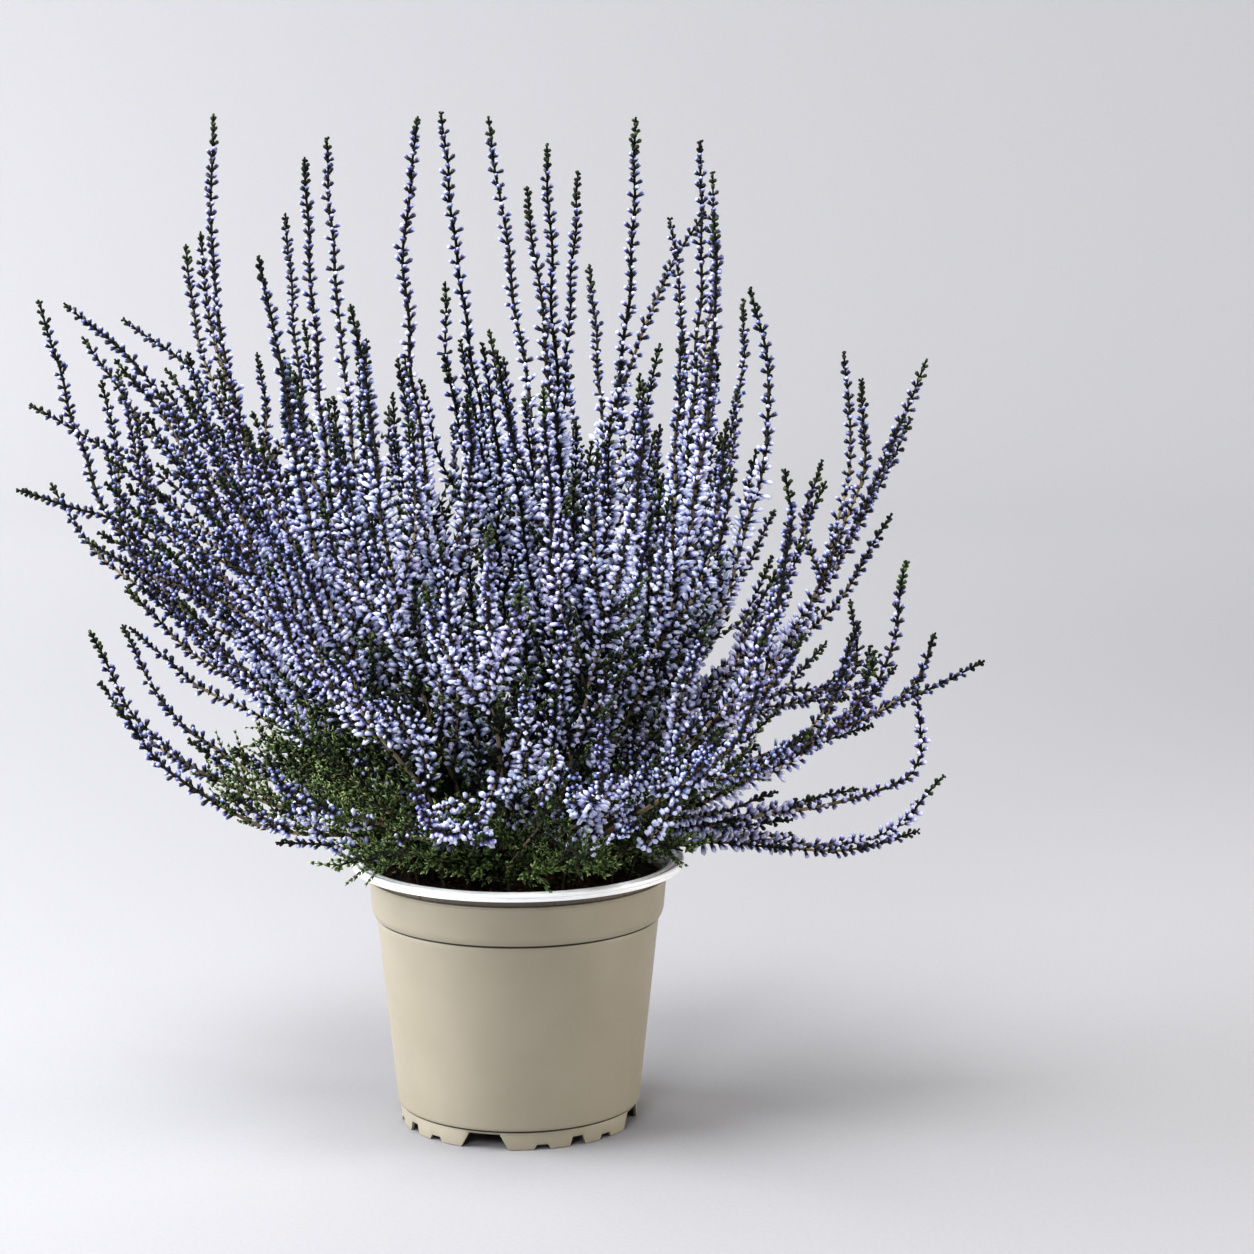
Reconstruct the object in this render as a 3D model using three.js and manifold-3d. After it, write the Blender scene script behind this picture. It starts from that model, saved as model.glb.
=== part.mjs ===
// A heather plant in a round nursery pot. Millimetres, +Z up. The origin is the centre of the
// pot's foot, on the surface that it stands on, and -Y is the front of the plant.
//
// The pot holds a block of peat. Woody stems stand in holes in the peat, fan out and turn up,
// and each ends in a long spike of buds set in crossed pairs, with a bare green tip. A stem with
// its side spikes is one solid. Low leafy shoots, which do not flower, stand round the stems.

import * as THREE from 'three';
import { mergeVertices } from 'three/addons/utils/BufferGeometryUtils.js';
import Module from 'manifold-3d';

const wasm = await Module();
wasm.setup();

// ---- Driving dimensions, mm -------------------------------------------------------------------

const POT_HEIGHT = 121;
const RIM_RADIUS = 75;
const RIM_UNDERSIDE = 117;
const COLLAR_RADIUS = 67.1; // at its top, under the rim
const COLLAR_TOP = 112.5;
const COLLAR_FOOT = 96; // height of the collar's lower edge
const COLLAR_TAPER = 1.5; // how much narrower it is there
const BODY_TOP_RADIUS = 63.4;
const BODY_TOP = 91.5;
const BODY_FOOT_RADIUS = 54.9;
const FOOT_LINE = 9.2; // height of the step above the skirt
const FOOT_RADIUS = 53.5;
const WALL = 1.4;
const FLOOR = FOOT_LINE + 1; // height of the floor inside
const POT_SIDES = 28;

const QUADRANTS = 4; // the skirt's pattern of notches repeats in each quarter
const NOTCH_START = -105; // degrees, the first big notch, just left of the front
const NOTCHES = [
  // turn from the quarter's start in degrees, width at the foot and at the top, height
  { turn: 0, foot: 22, top: 14, height: 7 },
  { turn: 28, foot: 7, top: 6, height: 2.2 },
  { turn: 46, foot: 7, top: 6, height: 4.4 },
  { turn: 63, foot: 7, top: 6, height: 2.2 },
];
const DRAIN_RADIUS = 5;
const DRAIN_RING = 36; // distance of the drain holes from the middle
const DRAIN_SIDES = 8;

const SOIL_EDGE = 111; // height of the peat at the pot's wall
const SOIL_TOP = 115; // and in the middle
const SOIL_SIDES = 20;
const SOIL_LUMP = 1.4; // how far its top rises and falls

const FIT_GAP = 0.3; // clearance between pieces that touch
const ROOT_DEPTH = 12; // how deep a stem stands in its hole
const ROOT_RISE = 13; // how far it goes straight up out of the peat
const ROOT_SPREAD = 0.22; // where a stem leaves the peat, as a share of how far its tip leans out
const ROOT_RING = 47; // and the furthest out that it may
const ROOT_LEAN = 4;

const STEM_RADIUS = 1.5; // corner radius of a woody stem at the peat
const TWIG_RADIUS = 1.0; // and where it flowers
const STEM_STEP = 48; // length of a stem's facets below its leaves
const TIP_RADIUS = 1.5; // the bare green end of a spike
const TIP_LENGTH = 15;

// What stands out of a stem in crossed pairs: `out` is from the stem's middle to the tips of a
// pair, `root` to the hollow between two pairs, `pitch` from one pair to the next, `reach` how
// far the tips point forward, and `taper` the size of the last pair as a share of the first.
const BUDS = { out: 5.2, root: 1.9, pitch: 11, reach: 2.8, taper: 0.7 };
const LEAVES = { out: 5.5, root: 1.3, pitch: 12, reach: 4, taper: 1 };
const PLUME = { out: 7, root: 1.5, pitch: 8, reach: 4, taper: 0.35 };

const BLOOM_SHARE = 0.58; // of a stem's length that carries buds
const SIDE_BLOOM_SHARE = 0.82;
const LEAFY_FROM = 44; // the lowest place on a stem that can have leaves
const SHOOT_LEAFY_FROM = 20;
const ROUTE_STEPS = 48;
const CLEARANCE = 1.5; // kept between spikes of different stems
const SAMPLE_STEP = 6; // between the places where it is tested

const SHOOTS = 14; // low leafy shoots
const SHOOT_ROOT = 54;
const SHOOT_REACH = [76, 122]; // how far out a shoot's tip is
const SHOOT_HEIGHT = [134, 196]; // and how high
const SHOOT_TURN = 0.5; // how far it may stray from its even place, as a share of the step
const SHOOT_BEND = 0.3; // how far it may bend aside, radians
const SHOOT_ARCH = 5;
const SHOOT_TRIES = 300;

const SIDE_LIMIT = 70; // side spikes placed by chance
const SIDE_ROUNDS = 3;
const SIDE_TRIES = 30;
const SIDE_FORK = [0.14, 0.46]; // where one leaves its stem, as a share of the stem's length
const SIDE_RISE = [0.26, 0.44]; // how far up the stem it reaches from there
const SIDE_SPREAD = [14, 30]; // and how far to the side
const SIDE_BULGE = 0.8; // share of that spread that it has half way
const FORK_FREE = 34; // length of a side spike that may touch its own stem

// The stems that make the plant's outline. Each runs through the points of `line`, the last one
// its tip, and each of its side spikes leaves it at the share `fork` of its length.
const STEMS = [
  // the left fan
  { line: [[-132, -18, 240], [-166, -25, 272], [-215, -30, 290]] },
  { line: [[-138, 21, 211], [-184, 29, 268], [-216, 35, 369]] },
  { line: [[-140, 4, 278], [-180, 5, 304], [-216, 6, 324]] },
  { line: [[-114, -42, 261], [-152, -59, 339], [-186, -70, 373]],
    sides: [{ fork: 0.6, line: [[-160, -42, 322], [-183, -43, 357]] }] },
  { line: [[-121, 66, 275], [-152, 92, 329], [-190, 110, 356]] },
  { line: [[-102, -69, 248], [-133, -97, 302], [-146, -115, 331]] },
  { line: [[-104, 9, 254], [-133, 13, 370], [-133, 15, 451]],
    sides: [
      { fork: 0.55, line: [[-143, 28, 350], [-149, 35, 394]] },
      { fork: 0.6, line: [[-134, -6, 365], [-136, -12, 401]] },
    ] },
  { line: [[-78, -54, 245], [-97, -76, 358], [-102, -90, 393]] },
  { line: [[-89, 60, 247], [-106, 84, 357], [-111, 100, 406]] },
  { line: [[-75, -15, 257], [-87, -21, 374], [-89, -25, 433]] },
  { line: [[-66, 33, 251], [-82, 46, 364], [-87, 55, 441]] },
  { line: [[-47, -72, 239], [-58, -101, 345], [-62, -120, 375]] },
  // the tall middle
  { line: [[-32, -36, 260], [-45, -50, 386], [-38, -60, 450]] },
  { line: [[-8, 12, 254], [-25, 17, 379], [-33, 20, 452]],
    sides: [
      { fork: 0.5, line: [[-31, 36, 335], [-33, 42, 377]] },
      { fork: 0.42, line: [[-8, -8, 310], [-14, -16, 353]] },
    ] },
  { line: [[9, 51, 267], [-4, 71, 376], [-15, 85, 451]] },
  { line: [[20, -18, 258], [17, -25, 372], [15, -30, 438]],
    sides: [
      { fork: 0.55, line: [[12, -45, 375], [7, -52, 421]] },
      { fork: 0.6, line: [[25, -8, 380], [28, -6, 427]] },
    ] },
  { line: [[36, 81, 264], [35, 113, 341], [31, 135, 381]] },
  { line: [[33, -9, 257], [50, -13, 371], [53, -15, 450]],
    sides: [{ fork: 0.62, line: [[67, 4, 382], [84, 12, 409]] }] },
  { line: [[70, 54, 267], [75, 76, 358], [69, 90, 404]] },
  { line: [[68, 21, 253], [82, 29, 369], [82, 35, 440]],
    sides: [{ fork: 0.55, line: [[88, 46, 370], [88, 54, 426]] }] },
  { line: [[69, -48, 244], [86, -67, 362], [85, -80, 411]] },
  { line: [[90, 75, 264], [103, 105, 323], [105, 125, 365]] },
  { line: [[88, -21, 232], [111, -29, 329], [102, -35, 378]] },
  { line: [[100, -63, 212], [117, -88, 276], [114, -105, 307]] },
  // the right side, with two stems that hook up at their ends
  { line: [[109, 0, 201], [157, 0, 285], [181, 0, 344]],
    sides: [
      { fork: 0.58, line: [[149, 14, 298], [146, 20, 347]] },
      { fork: 0.6, line: [[153, -14, 300], [151, -20, 337]] },
    ] },
  { line: [[117, -30, 168], [157, -42, 204], [169, -50, 262]] },
  { line: [[124, 36, 165], [165, 50, 177], [216, 60, 200]] },
  { line: [[127, -9, 144], [176, -13, 162], [178, -15, 203]] },
  { line: [[105, 8, 126], [163, 10, 127], [193, 12, 155]] },
  { line: [[111, 45, 184], [155, 63, 192], [154, 75, 227]] },
  // low on the left
  { line: [[-118, -32, 156], [-160, -44, 187], [-182, -52, 232]] },
  { line: [[-110, -54, 147], [-145, -76, 175], [-166, -90, 207]] },
  { line: [[-129, 33, 156], [-165, 46, 182], [-185, 55, 218]] },
  // leaning out at the front
  { line: [[-62, -62, 150], [-88, -100, 166], [-98, -128, 192]] },
  { line: [[-16, -78, 148], [-30, -120, 160], [-38, -154, 188]] },
  { line: [[26, -70, 150], [38, -118, 176], [40, -150, 215]] },
  { line: [[-8, -82, 210], [-6, -138, 262], [-4, -181, 292]] },
  { line: [[72, -78, 168], [96, -122, 200], [104, -152, 246]] },
  { line: [[-58, -82, 196], [-84, -134, 236], [-92, -166, 276]] },
  { line: [[40, -70, 238], [54, -108, 300], [56, -128, 344]] },
  // leaning out at the back
  { line: [[-70, 88, 186], [-104, 138, 222], [-118, 162, 268]] },
  { line: [[-24, 92, 210], [-34, 150, 262], [-38, 182, 300]] },
  { line: [[30, 96, 170], [46, 150, 204], [52, 182, 254]] },
  { line: [[82, 92, 178], [118, 132, 214], [130, 148, 262]] },
];

// ---- Drawing lots -----------------------------------------------------------------------------

const SEED = 1973;
let draw = SEED;

// The next number from 0 to 1 of a fixed sequence.
function chance() {
  draw = (draw * 48271) % 2147483647;
  return draw / 2147483647;
}

function between([low, high]) {
  return low + (high - low) * chance();
}

// ---- Solids -----------------------------------------------------------------------------------

// A closed surface, given by its corners and its triangles, as a solid.
function solid(corners, triangles) {
  const vertProperties = new Float32Array(corners.flatMap((p) => [p.x, p.y, p.z]));
  const triVerts = new Uint32Array(triangles.flat());
  return new wasm.Manifold(new wasm.Mesh({ numProp: 3, vertProperties, triVerts }));
}

// A three.js geometry as a solid.
function solidOf(geometry) {
  const bare = geometry.clone();
  bare.deleteAttribute('normal');
  bare.deleteAttribute('uv');
  const merged = mergeVertices(bare, 1e-4);
  const vertProperties = new Float32Array(merged.attributes.position.array);
  const triVerts = new Uint32Array(merged.index.array);
  return new wasm.Manifold(new wasm.Mesh({ numProp: 3, vertProperties, triVerts }));
}

// A profile of [radius, height] turned about the Z axis.
function turned(profile, sides) {
  const geometry = new THREE.LatheGeometry(profile.map(([r, z]) => new THREE.Vector2(r, z)), sides);
  geometry.rotateX(Math.PI / 2);
  return solidOf(geometry);
}

function part(name, shape, material) {
  const { vertProperties, triVerts } = shape.getMesh();
  const geometry = new THREE.BufferGeometry();
  geometry.setAttribute('position', new THREE.BufferAttribute(vertProperties, 3));
  geometry.setIndex(new THREE.BufferAttribute(triVerts, 1));
  geometry.computeVertexNormals();
  const mesh = new THREE.Mesh(geometry, material);
  mesh.name = name;
  return mesh;
}

// ---- Materials --------------------------------------------------------------------------------

const potPlastic = new THREE.MeshStandardMaterial({ color: '#a39d8b', roughness: 0.55, metalness: 0 });
const peat = new THREE.MeshStandardMaterial({ color: '#2f2019', roughness: 1, metalness: 0 });
const bloom = new THREE.MeshStandardMaterial({ color: '#8288c4', roughness: 0.7, metalness: 0 });
const leaf = new THREE.MeshStandardMaterial({ color: '#3c5a33', roughness: 0.75, metalness: 0 });

// ---- The pot ----------------------------------------------------------------------------------

// One wall from the skirt to the rolled rim, with a raised floor.
function potWall() {
  const profile = [
    // outside, from the foot up
    [FOOT_RADIUS, 0],
    [FOOT_RADIUS + 0.4, FOOT_LINE - 0.8],
    [BODY_FOOT_RADIUS, FOOT_LINE],
    [BODY_TOP_RADIUS, BODY_TOP],
    [COLLAR_RADIUS - COLLAR_TAPER, COLLAR_FOOT],
    [COLLAR_RADIUS, COLLAR_TOP],
    [COLLAR_RADIUS + 0.2, RIM_UNDERSIDE],
    // round the rim
    [RIM_RADIUS - 0.6, RIM_UNDERSIDE - 0.2],
    [RIM_RADIUS, RIM_UNDERSIDE + 1],
    [RIM_RADIUS - 3.5, POT_HEIGHT],
    [COLLAR_RADIUS - 0.3, POT_HEIGHT - 2],
    // inside, down to the floor
    [COLLAR_RADIUS - WALL, COLLAR_TOP],
    [BODY_TOP_RADIUS - WALL, BODY_TOP + 0.5],
    [BODY_FOOT_RADIUS - WALL, FLOOR],
    [0, FLOOR],
    // under the floor and inside the skirt
    [0, FLOOR - WALL],
    [FOOT_RADIUS - WALL + 0.3, FLOOR - WALL],
    [FOOT_RADIUS - WALL, 0],
    [FOOT_RADIUS, 0],
  ];
  return turned(profile, POT_SIDES);
}

// A prism through the skirt, wider at the foot, that cuts one notch.
function notchCutter({ foot, top, height }, degrees) {
  const outline = new THREE.Shape([
    new THREE.Vector2(-foot / 2 - 1, -1),
    new THREE.Vector2(foot / 2 + 1, -1),
    new THREE.Vector2(foot / 2, 0),
    new THREE.Vector2(top / 2, height),
    new THREE.Vector2(-top / 2, height),
    new THREE.Vector2(-foot / 2, 0),
  ]);
  const depth = 10 * WALL;
  const geometry = new THREE.ExtrudeGeometry(outline, { depth, bevelEnabled: false });
  geometry.rotateX(Math.PI / 2);
  geometry.translate(0, -FOOT_RADIUS + depth / 2, 0);
  geometry.rotateZ(THREE.MathUtils.degToRad(degrees + 90));
  return solidOf(geometry);
}

function drainCutter(degrees) {
  const geometry = new THREE.CylinderGeometry(DRAIN_RADIUS, DRAIN_RADIUS, 4 * WALL, DRAIN_SIDES);
  geometry.rotateX(Math.PI / 2);
  geometry.translate(DRAIN_RING, 0, FOOT_LINE);
  geometry.rotateZ(THREE.MathUtils.degToRad(degrees));
  return solidOf(geometry);
}

function buildPot() {
  let shape = potWall();
  for (let quarter = 0; quarter < QUADRANTS; quarter += 1) {
    const start = NOTCH_START + (quarter * 360) / QUADRANTS;
    for (const notch of NOTCHES) {
      shape = shape.subtract(notchCutter(notch, start + notch.turn));
    }
    shape = shape.subtract(drainCutter(start));
  }
  return shape;
}

// ---- Routes -----------------------------------------------------------------------------------

const vector = ([x, y, z]) => new THREE.Vector3(x, y, z);

// A smooth line through the points, with the length up to each of its own closely set points.
function route(points) {
  const line = new THREE.CatmullRomCurve3(points, false, 'centripetal').getPoints(ROUTE_STEPS);
  const lengths = [0];
  for (let i = 1; i < line.length; i += 1) {
    lengths.push(lengths[i - 1] + line[i].distanceTo(line[i - 1]));
  }
  return { line, lengths, length: lengths[lengths.length - 1] };
}

// The point of a route at a length from its start, and the way that it runs there.
function along({ line, lengths }, length) {
  let i = 1;
  while (i < line.length - 1 && lengths[i] < length) i += 1;
  const share = (length - lengths[i - 1]) / (lengths[i] - lengths[i - 1]);
  const point = line[i - 1].clone().lerp(line[i], share);
  const forward = line[i].clone().sub(line[i - 1]).normalize();
  return { point, forward };
}

// Where a stem that leans out to `tip` leaves the peat.
function rootOf(tip) {
  const out = new THREE.Vector3(tip.x, tip.y, 0);
  const reach = Math.min(out.length() * ROOT_SPREAD, ROOT_RING);
  return out.setLength(reach);
}

// A stem's route from the peat: straight up, over the rim and on through its points.
function stemRoute(line) {
  const points = line.map(vector);
  const root = rootOf(points[points.length - 1]);
  const lean = root.clone().setLength(ROOT_LEAN).add(root);
  root.z = SOIL_TOP + 1;
  lean.z = SOIL_TOP + ROOT_RISE;
  return route([root, lean, ...points]);
}

// ---- Stems and spikes -------------------------------------------------------------------------

// The skin over four-cornered rings. A ring gives how far its corners stand out along its two
// crossed directions. Between a corner that stands out and one that does not, the fold runs in
// the valley, so each corner that stands out is the tip of a bud or a leafy twig.
function skin(rings) {
  const corners = [];
  for (const { point, forward, side, up, wide, tall, reach } of rings) {
    for (const turn of [1, -1]) {
      for (const [direction, radius] of [[side, wide], [up, tall]]) {
        const lead = radius > Math.min(wide, tall) ? reach : 0;
        const corner = point.clone().addScaledVector(direction, turn * radius);
        corners.push(corner.addScaledVector(forward, lead));
      }
    }
  }
  const triangles = [[0, 3, 2], [0, 2, 1]];
  for (let k = 0; k < rings.length - 1; k += 1) {
    const { wide, tall } = rings[k];
    for (let i = 0; i < 4; i += 1) {
      const a = 4 * k + i;
      const b = 4 * k + ((i + 1) % 4);
      const c = b + 4;
      const d = a + 4;
      const standsOut = i % 2 === 0 ? wide > tall : tall > wide;
      if (standsOut) triangles.push([a, b, d], [b, c, d]);
      else triangles.push([a, b, c], [a, c, d]);
    }
  }
  const last = 4 * (rings.length - 1);
  triangles.push([last, last + 1, last + 2], [last, last + 2, last + 3]);
  return solid(corners, triangles);
}

// Adds the two crossed directions to each ring, carried along the route without a twist.
function orient(rings) {
  let side = new THREE.Vector3(-rings[0].forward.y, rings[0].forward.x, 0);
  for (const ring of rings) {
    side = side.clone().addScaledVector(ring.forward, -side.dot(ring.forward)).normalize();
    ring.side = side;
    ring.up = ring.forward.clone().cross(side);
  }
  return rings;
}

// Where the rings of a spike are, as lengths from its start: on its bare stem, and at the pairs
// of each of its zones.
function ringLengths({ zones, rooted }) {
  const [{ from: bareEnd }] = zones;
  const bend = rooted ? ROOT_RISE : 0;
  const steps = Math.max(1, Math.round((bareEnd - bend) / STEM_STEP));
  const bare = Array.from({ length: steps }, (_, k) => bend + ((bareEnd - bend) * k) / steps);
  if (rooted) bare.unshift(0);
  const paired = zones.map(({ from, to, kind }) => {
    const pairs = Math.max(2, Math.round((to - from) / kind.pitch));
    return Array.from({ length: pairs }, (_, k) => from + ((to - from) * k) / pairs);
  });
  return { bare, paired };
}

// The rings of one spike: its bare stem, the crossed pairs that stand out of it, its thin end.
function spikeRings(spike) {
  const { way, zones, thick, end } = spike;
  const { bare, paired } = ringLengths(spike);
  const rings = bare.map((length) => {
    const radius = THREE.MathUtils.lerp(thick, TWIG_RADIUS, length / zones[0].from);
    return { ...along(way, length), wide: radius, tall: radius, reach: 0 };
  });
  paired.forEach((lengths, zone) => {
    const { out, root, reach, taper } = zones[zone].kind;
    lengths.forEach((length, k) => {
      const size = out * (1 - (1 - taper) * (k / (lengths.length - 1)) ** 3);
      const [wide, tall] = rings.length % 2 === 0 ? [size, root] : [root, size];
      rings.push({ ...along(way, length), wide, tall, reach });
    });
  });
  rings.push({ ...along(way, way.length), wide: end, tall: end, reach: 0 });
  return orient(rings);
}

// The place of a ring nearest to a share of the spike's length, where a side spike can leave it.
function forkOf(spike, share) {
  const wanted = spike.way.length * share;
  const { bare, paired } = ringLengths(spike);
  const places = [...bare.slice(1), ...paired.flat()];
  const nearer = (a, b) => (Math.abs(b - wanted) < Math.abs(a - wanted) ? b : a);
  return places.reduce(nearer);
}

// The lowest ring of a rooted spike, turned level, and let down by a depth.
function levelRing(spike, depth) {
  const [ring] = spikeRings(spike);
  const forward = new THREE.Vector3(0, 0, 1);
  const side = new THREE.Vector3(ring.side.x, ring.side.y, 0).normalize();
  const point = ring.point.clone();
  point.z -= depth;
  return { ...ring, point, forward, side, up: forward.clone().cross(side) };
}

function spikeSolid(spike) {
  const rings = spikeRings(spike);
  if (spike.rooted) rings.splice(0, 1, levelRing(spike, ROOT_DEPTH), levelRing(spike, 0));
  return skin(rings);
}

// The square hole in the peat that a stem's foot stands in.
function holeCutter(spike) {
  const bottom = levelRing(spike, ROOT_DEPTH + FIT_GAP);
  const top = levelRing(spike, -2 * ROOT_DEPTH);
  const radius = bottom.wide + FIT_GAP * Math.SQRT2;
  return skin([{ ...bottom, wide: radius, tall: radius }, { ...top, wide: radius, tall: radius }]);
}

// ---- Room between the stems -------------------------------------------------------------------

const taken = []; // what stands so far, as points that each need some room

// A place on a spike, and the room that it needs there.
function placeOn(spike, length) {
  const zone = spike.zones.findLast(({ from, kind }) => length > from - kind.pitch / 2);
  return { point: along(spike.way, length).point, radius: zone ? zone.kind.out : spike.thick };
}

function places(spike) {
  const found = [];
  for (let length = 0; length <= spike.way.length; length += SAMPLE_STEP) {
    found.push({ ...placeOn(spike, length), stem: spike.stem });
  }
  return found;
}

// Whether a place keeps off the pot's rim.
function offRim({ point, radius }) {
  const distance = Math.hypot(point.x, point.y);
  if (distance > RIM_RADIUS + radius + CLEARANCE) return true;
  if (distance < COLLAR_RADIUS - WALL - radius - CLEARANCE) return true;
  return point.z > POT_HEIGHT + radius + CLEARANCE;
}

function apart(one, other) {
  return one.point.distanceTo(other.point) > one.radius + other.radius + CLEARANCE;
}

// Whether a new spike has room, but for its first stretch beside its own stem.
function fits(spike) {
  const [start] = spike.way.line;
  return places(spike).every((own) => {
    const free = own.point.distanceTo(start) < spike.free;
    const clear = taken.every((other) => (free && other.stem === spike.stem) || apart(own, other));
    return clear && offRim(own);
  });
}

function stand(spikes) {
  for (const spike of spikes) taken.push(...places(spike));
}

// ---- Spikes -----------------------------------------------------------------------------------

// A spike in flower: buds over the last share of its length, and a bare tip.
function budded(way, stem, share, thick) {
  const zones = [{ from: way.length * (1 - share), to: way.length - TIP_LENGTH, kind: BUDS }];
  return { way, stem, zones, thick, end: TIP_RADIUS, free: 0 };
}

// A stem's main spike and the side spikes whose place is given.
function plannedSpikes({ line, sides = [] }, stem) {
  const main = budded(stemRoute(line), stem, BLOOM_SHARE, STEM_RADIUS);
  main.rooted = true;
  const others = sides.map((side) => {
    const start = along(main.way, forkOf(main, side.fork)).point;
    return budded(route([start, ...side.line.map(vector)]), stem, SIDE_BLOOM_SHARE, TWIG_RADIUS);
  });
  return [main, ...others];
}

// A low leafy shoot that leans out over the rim.
function drawnShoot(k) {
  const turn = ((k + between([-SHOOT_TURN, SHOOT_TURN])) * 2 * Math.PI) / SHOOTS;
  const bend = turn + between([-SHOOT_BEND, SHOOT_BEND]);
  const reach = between(SHOOT_REACH);
  const height = between(SHOOT_HEIGHT);
  const at = (radius, angle, z) => vector([radius * Math.cos(angle), radius * Math.sin(angle), z]);
  const way = route([
    at(SHOOT_ROOT, turn, SOIL_EDGE + 3),
    at(SHOOT_ROOT + ROOT_LEAN, turn, SOIL_TOP + ROOT_RISE),
    at((SHOOT_ROOT + reach) / 2, bend, (SOIL_TOP + ROOT_RISE + height) / 2 + SHOOT_ARCH),
    at(reach, bend, height),
  ]);
  const zones = [{ from: SHOOT_LEAFY_FROM, to: way.length, kind: PLUME }];
  return { way, stem: `shoot ${k}`, zones, thick: TWIG_RADIUS, end: TWIG_RADIUS, free: 0, rooted: true };
}

function plantShoots() {
  const shoots = [];
  for (let k = 0; k < SHOOTS; k += 1) {
    for (let tries = 0; tries < SHOOT_TRIES; tries += 1) {
      const shoot = drawnShoot(k);
      if (fits(shoot)) {
        shoots.push([shoot]);
        stand([shoot]);
        break;
      }
    }
  }
  return shoots;
}

// Leaves on a stem below its buds, down to where the stems crowd together.
function leafOut([main]) {
  const others = taken.filter(({ stem }) => stem !== main.stem);
  const [buds] = main.zones;
  let from = buds.from;
  while (from > LEAFY_FROM) {
    const place = { ...placeOn(main, from), radius: LEAVES.out };
    if (!offRim(place) || !others.every((other) => apart(place, other))) break;
    from -= SAMPLE_STEP;
  }
  from += LEAVES.pitch;
  if (buds.from - from > 2 * LEAVES.pitch) {
    main.zones.unshift({ from, to: buds.from, kind: LEAVES });
    stand([main]);
  }
}

// A side spike that rises beside its stem, where chance puts it.
function drawnSide(main, stem) {
  const fork = forkOf(main, between(SIDE_FORK)) / main.way.length;
  const top = fork + between(SIDE_RISE);
  const turn = between([0, 2 * Math.PI]);
  const spread = between(SIDE_SPREAD);
  const at = (share) => along(main.way, main.way.length * share).point;
  const offset = new THREE.Vector3(Math.cos(turn), Math.sin(turn), 0).multiplyScalar(spread);
  const middle = at((fork + top) / 2).addScaledVector(offset, SIDE_BULGE);
  const way = route([at(fork), middle, at(top).add(offset)]);
  return { ...budded(way, stem, SIDE_BLOOM_SHARE, TWIG_RADIUS), free: FORK_FREE };
}

// Adds side spikes to the stems by turns, while there is room for them.
function addSides(stems) {
  let count = 0;
  for (let round = 0; round < SIDE_ROUNDS; round += 1) {
    stems.forEach((spikes, stem) => {
      for (let tries = 0; tries < SIDE_TRIES && count < SIDE_LIMIT; tries += 1) {
        const spike = drawnSide(spikes[0], stem);
        if (fits(spike)) {
          spikes.push(spike);
          stand([spike]);
          count += 1;
          return;
        }
      }
    });
  }
}

const stems = STEMS.map(plannedSpikes);
stems.forEach(stand);
const shoots = plantShoots();
stems.forEach(leafOut);
addSides(stems);

// ---- The peat ---------------------------------------------------------------------------------

// The peat fills the pot, and its top swells towards the middle in low lumps.
function buildSoil() {
  const inside = (outer) => (outer - WALL) * Math.cos(Math.PI / POT_SIDES) - FIT_GAP;
  const edge = inside(COLLAR_RADIUS) - FIT_GAP;
  const profile = [
    [0, FLOOR + FIT_GAP],
    [inside(BODY_FOOT_RADIUS), FLOOR + FIT_GAP],
    [inside(BODY_TOP_RADIUS), BODY_TOP + 0.5],
    [edge, SOIL_EDGE],
    [edge * 0.72, SOIL_TOP - 1.5],
    [edge * 0.38, SOIL_TOP],
    [0, SOIL_TOP],
  ];
  const geometry = new THREE.LatheGeometry(profile.map(([r, z]) => new THREE.Vector2(r, z)), SOIL_SIDES);
  geometry.rotateX(Math.PI / 2);
  const place = geometry.attributes.position;
  for (let i = 0; i < place.count; i += 1) {
    const x = place.getX(i);
    const y = place.getY(i);
    const z = place.getZ(i);
    const lump = SOIL_LUMP * Math.sin(x * 0.21 + 1) * Math.cos(y * 0.17);
    if (z > SOIL_EDGE + 1) place.setZ(i, z + lump);
  }
  return solidOf(geometry);
}

// ---- The whole plant --------------------------------------------------------------------------

const group = new THREE.Group();
group.add(part('pot', buildPot(), potPlastic));

let soil = buildSoil();
for (const [main] of [...stems, ...shoots]) soil = soil.subtract(holeCutter(main));
group.add(part('potting_soil', soil, peat));

const two = (k) => String(k + 1).padStart(2, '0');
stems.forEach((spikes, k) => {
  const shape = wasm.Manifold.union(spikes.map(spikeSolid));
  group.add(part(`flowering_stem_${two(k)}`, shape, bloom));
});
shoots.forEach((spikes, k) => {
  const shape = wasm.Manifold.union(spikes.map(spikeSolid));
  group.add(part(`leafy_shoot_${two(k)}`, shape, leaf));
});

export default group;
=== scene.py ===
# A heather plant in a round nursery pot, dressed over its solids: the moulded pot, the peat, the
# woody stems with their crossed pairs of buds, and the leafy twigs below them.
#
# Sizes are in millimetres, +Z up, with the origin at the centre of the pot's foot and -Y at the
# front. The stems grow by the same rule and the same numbers as the solids, so each piece lies
# where its solid does.

import math

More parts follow.
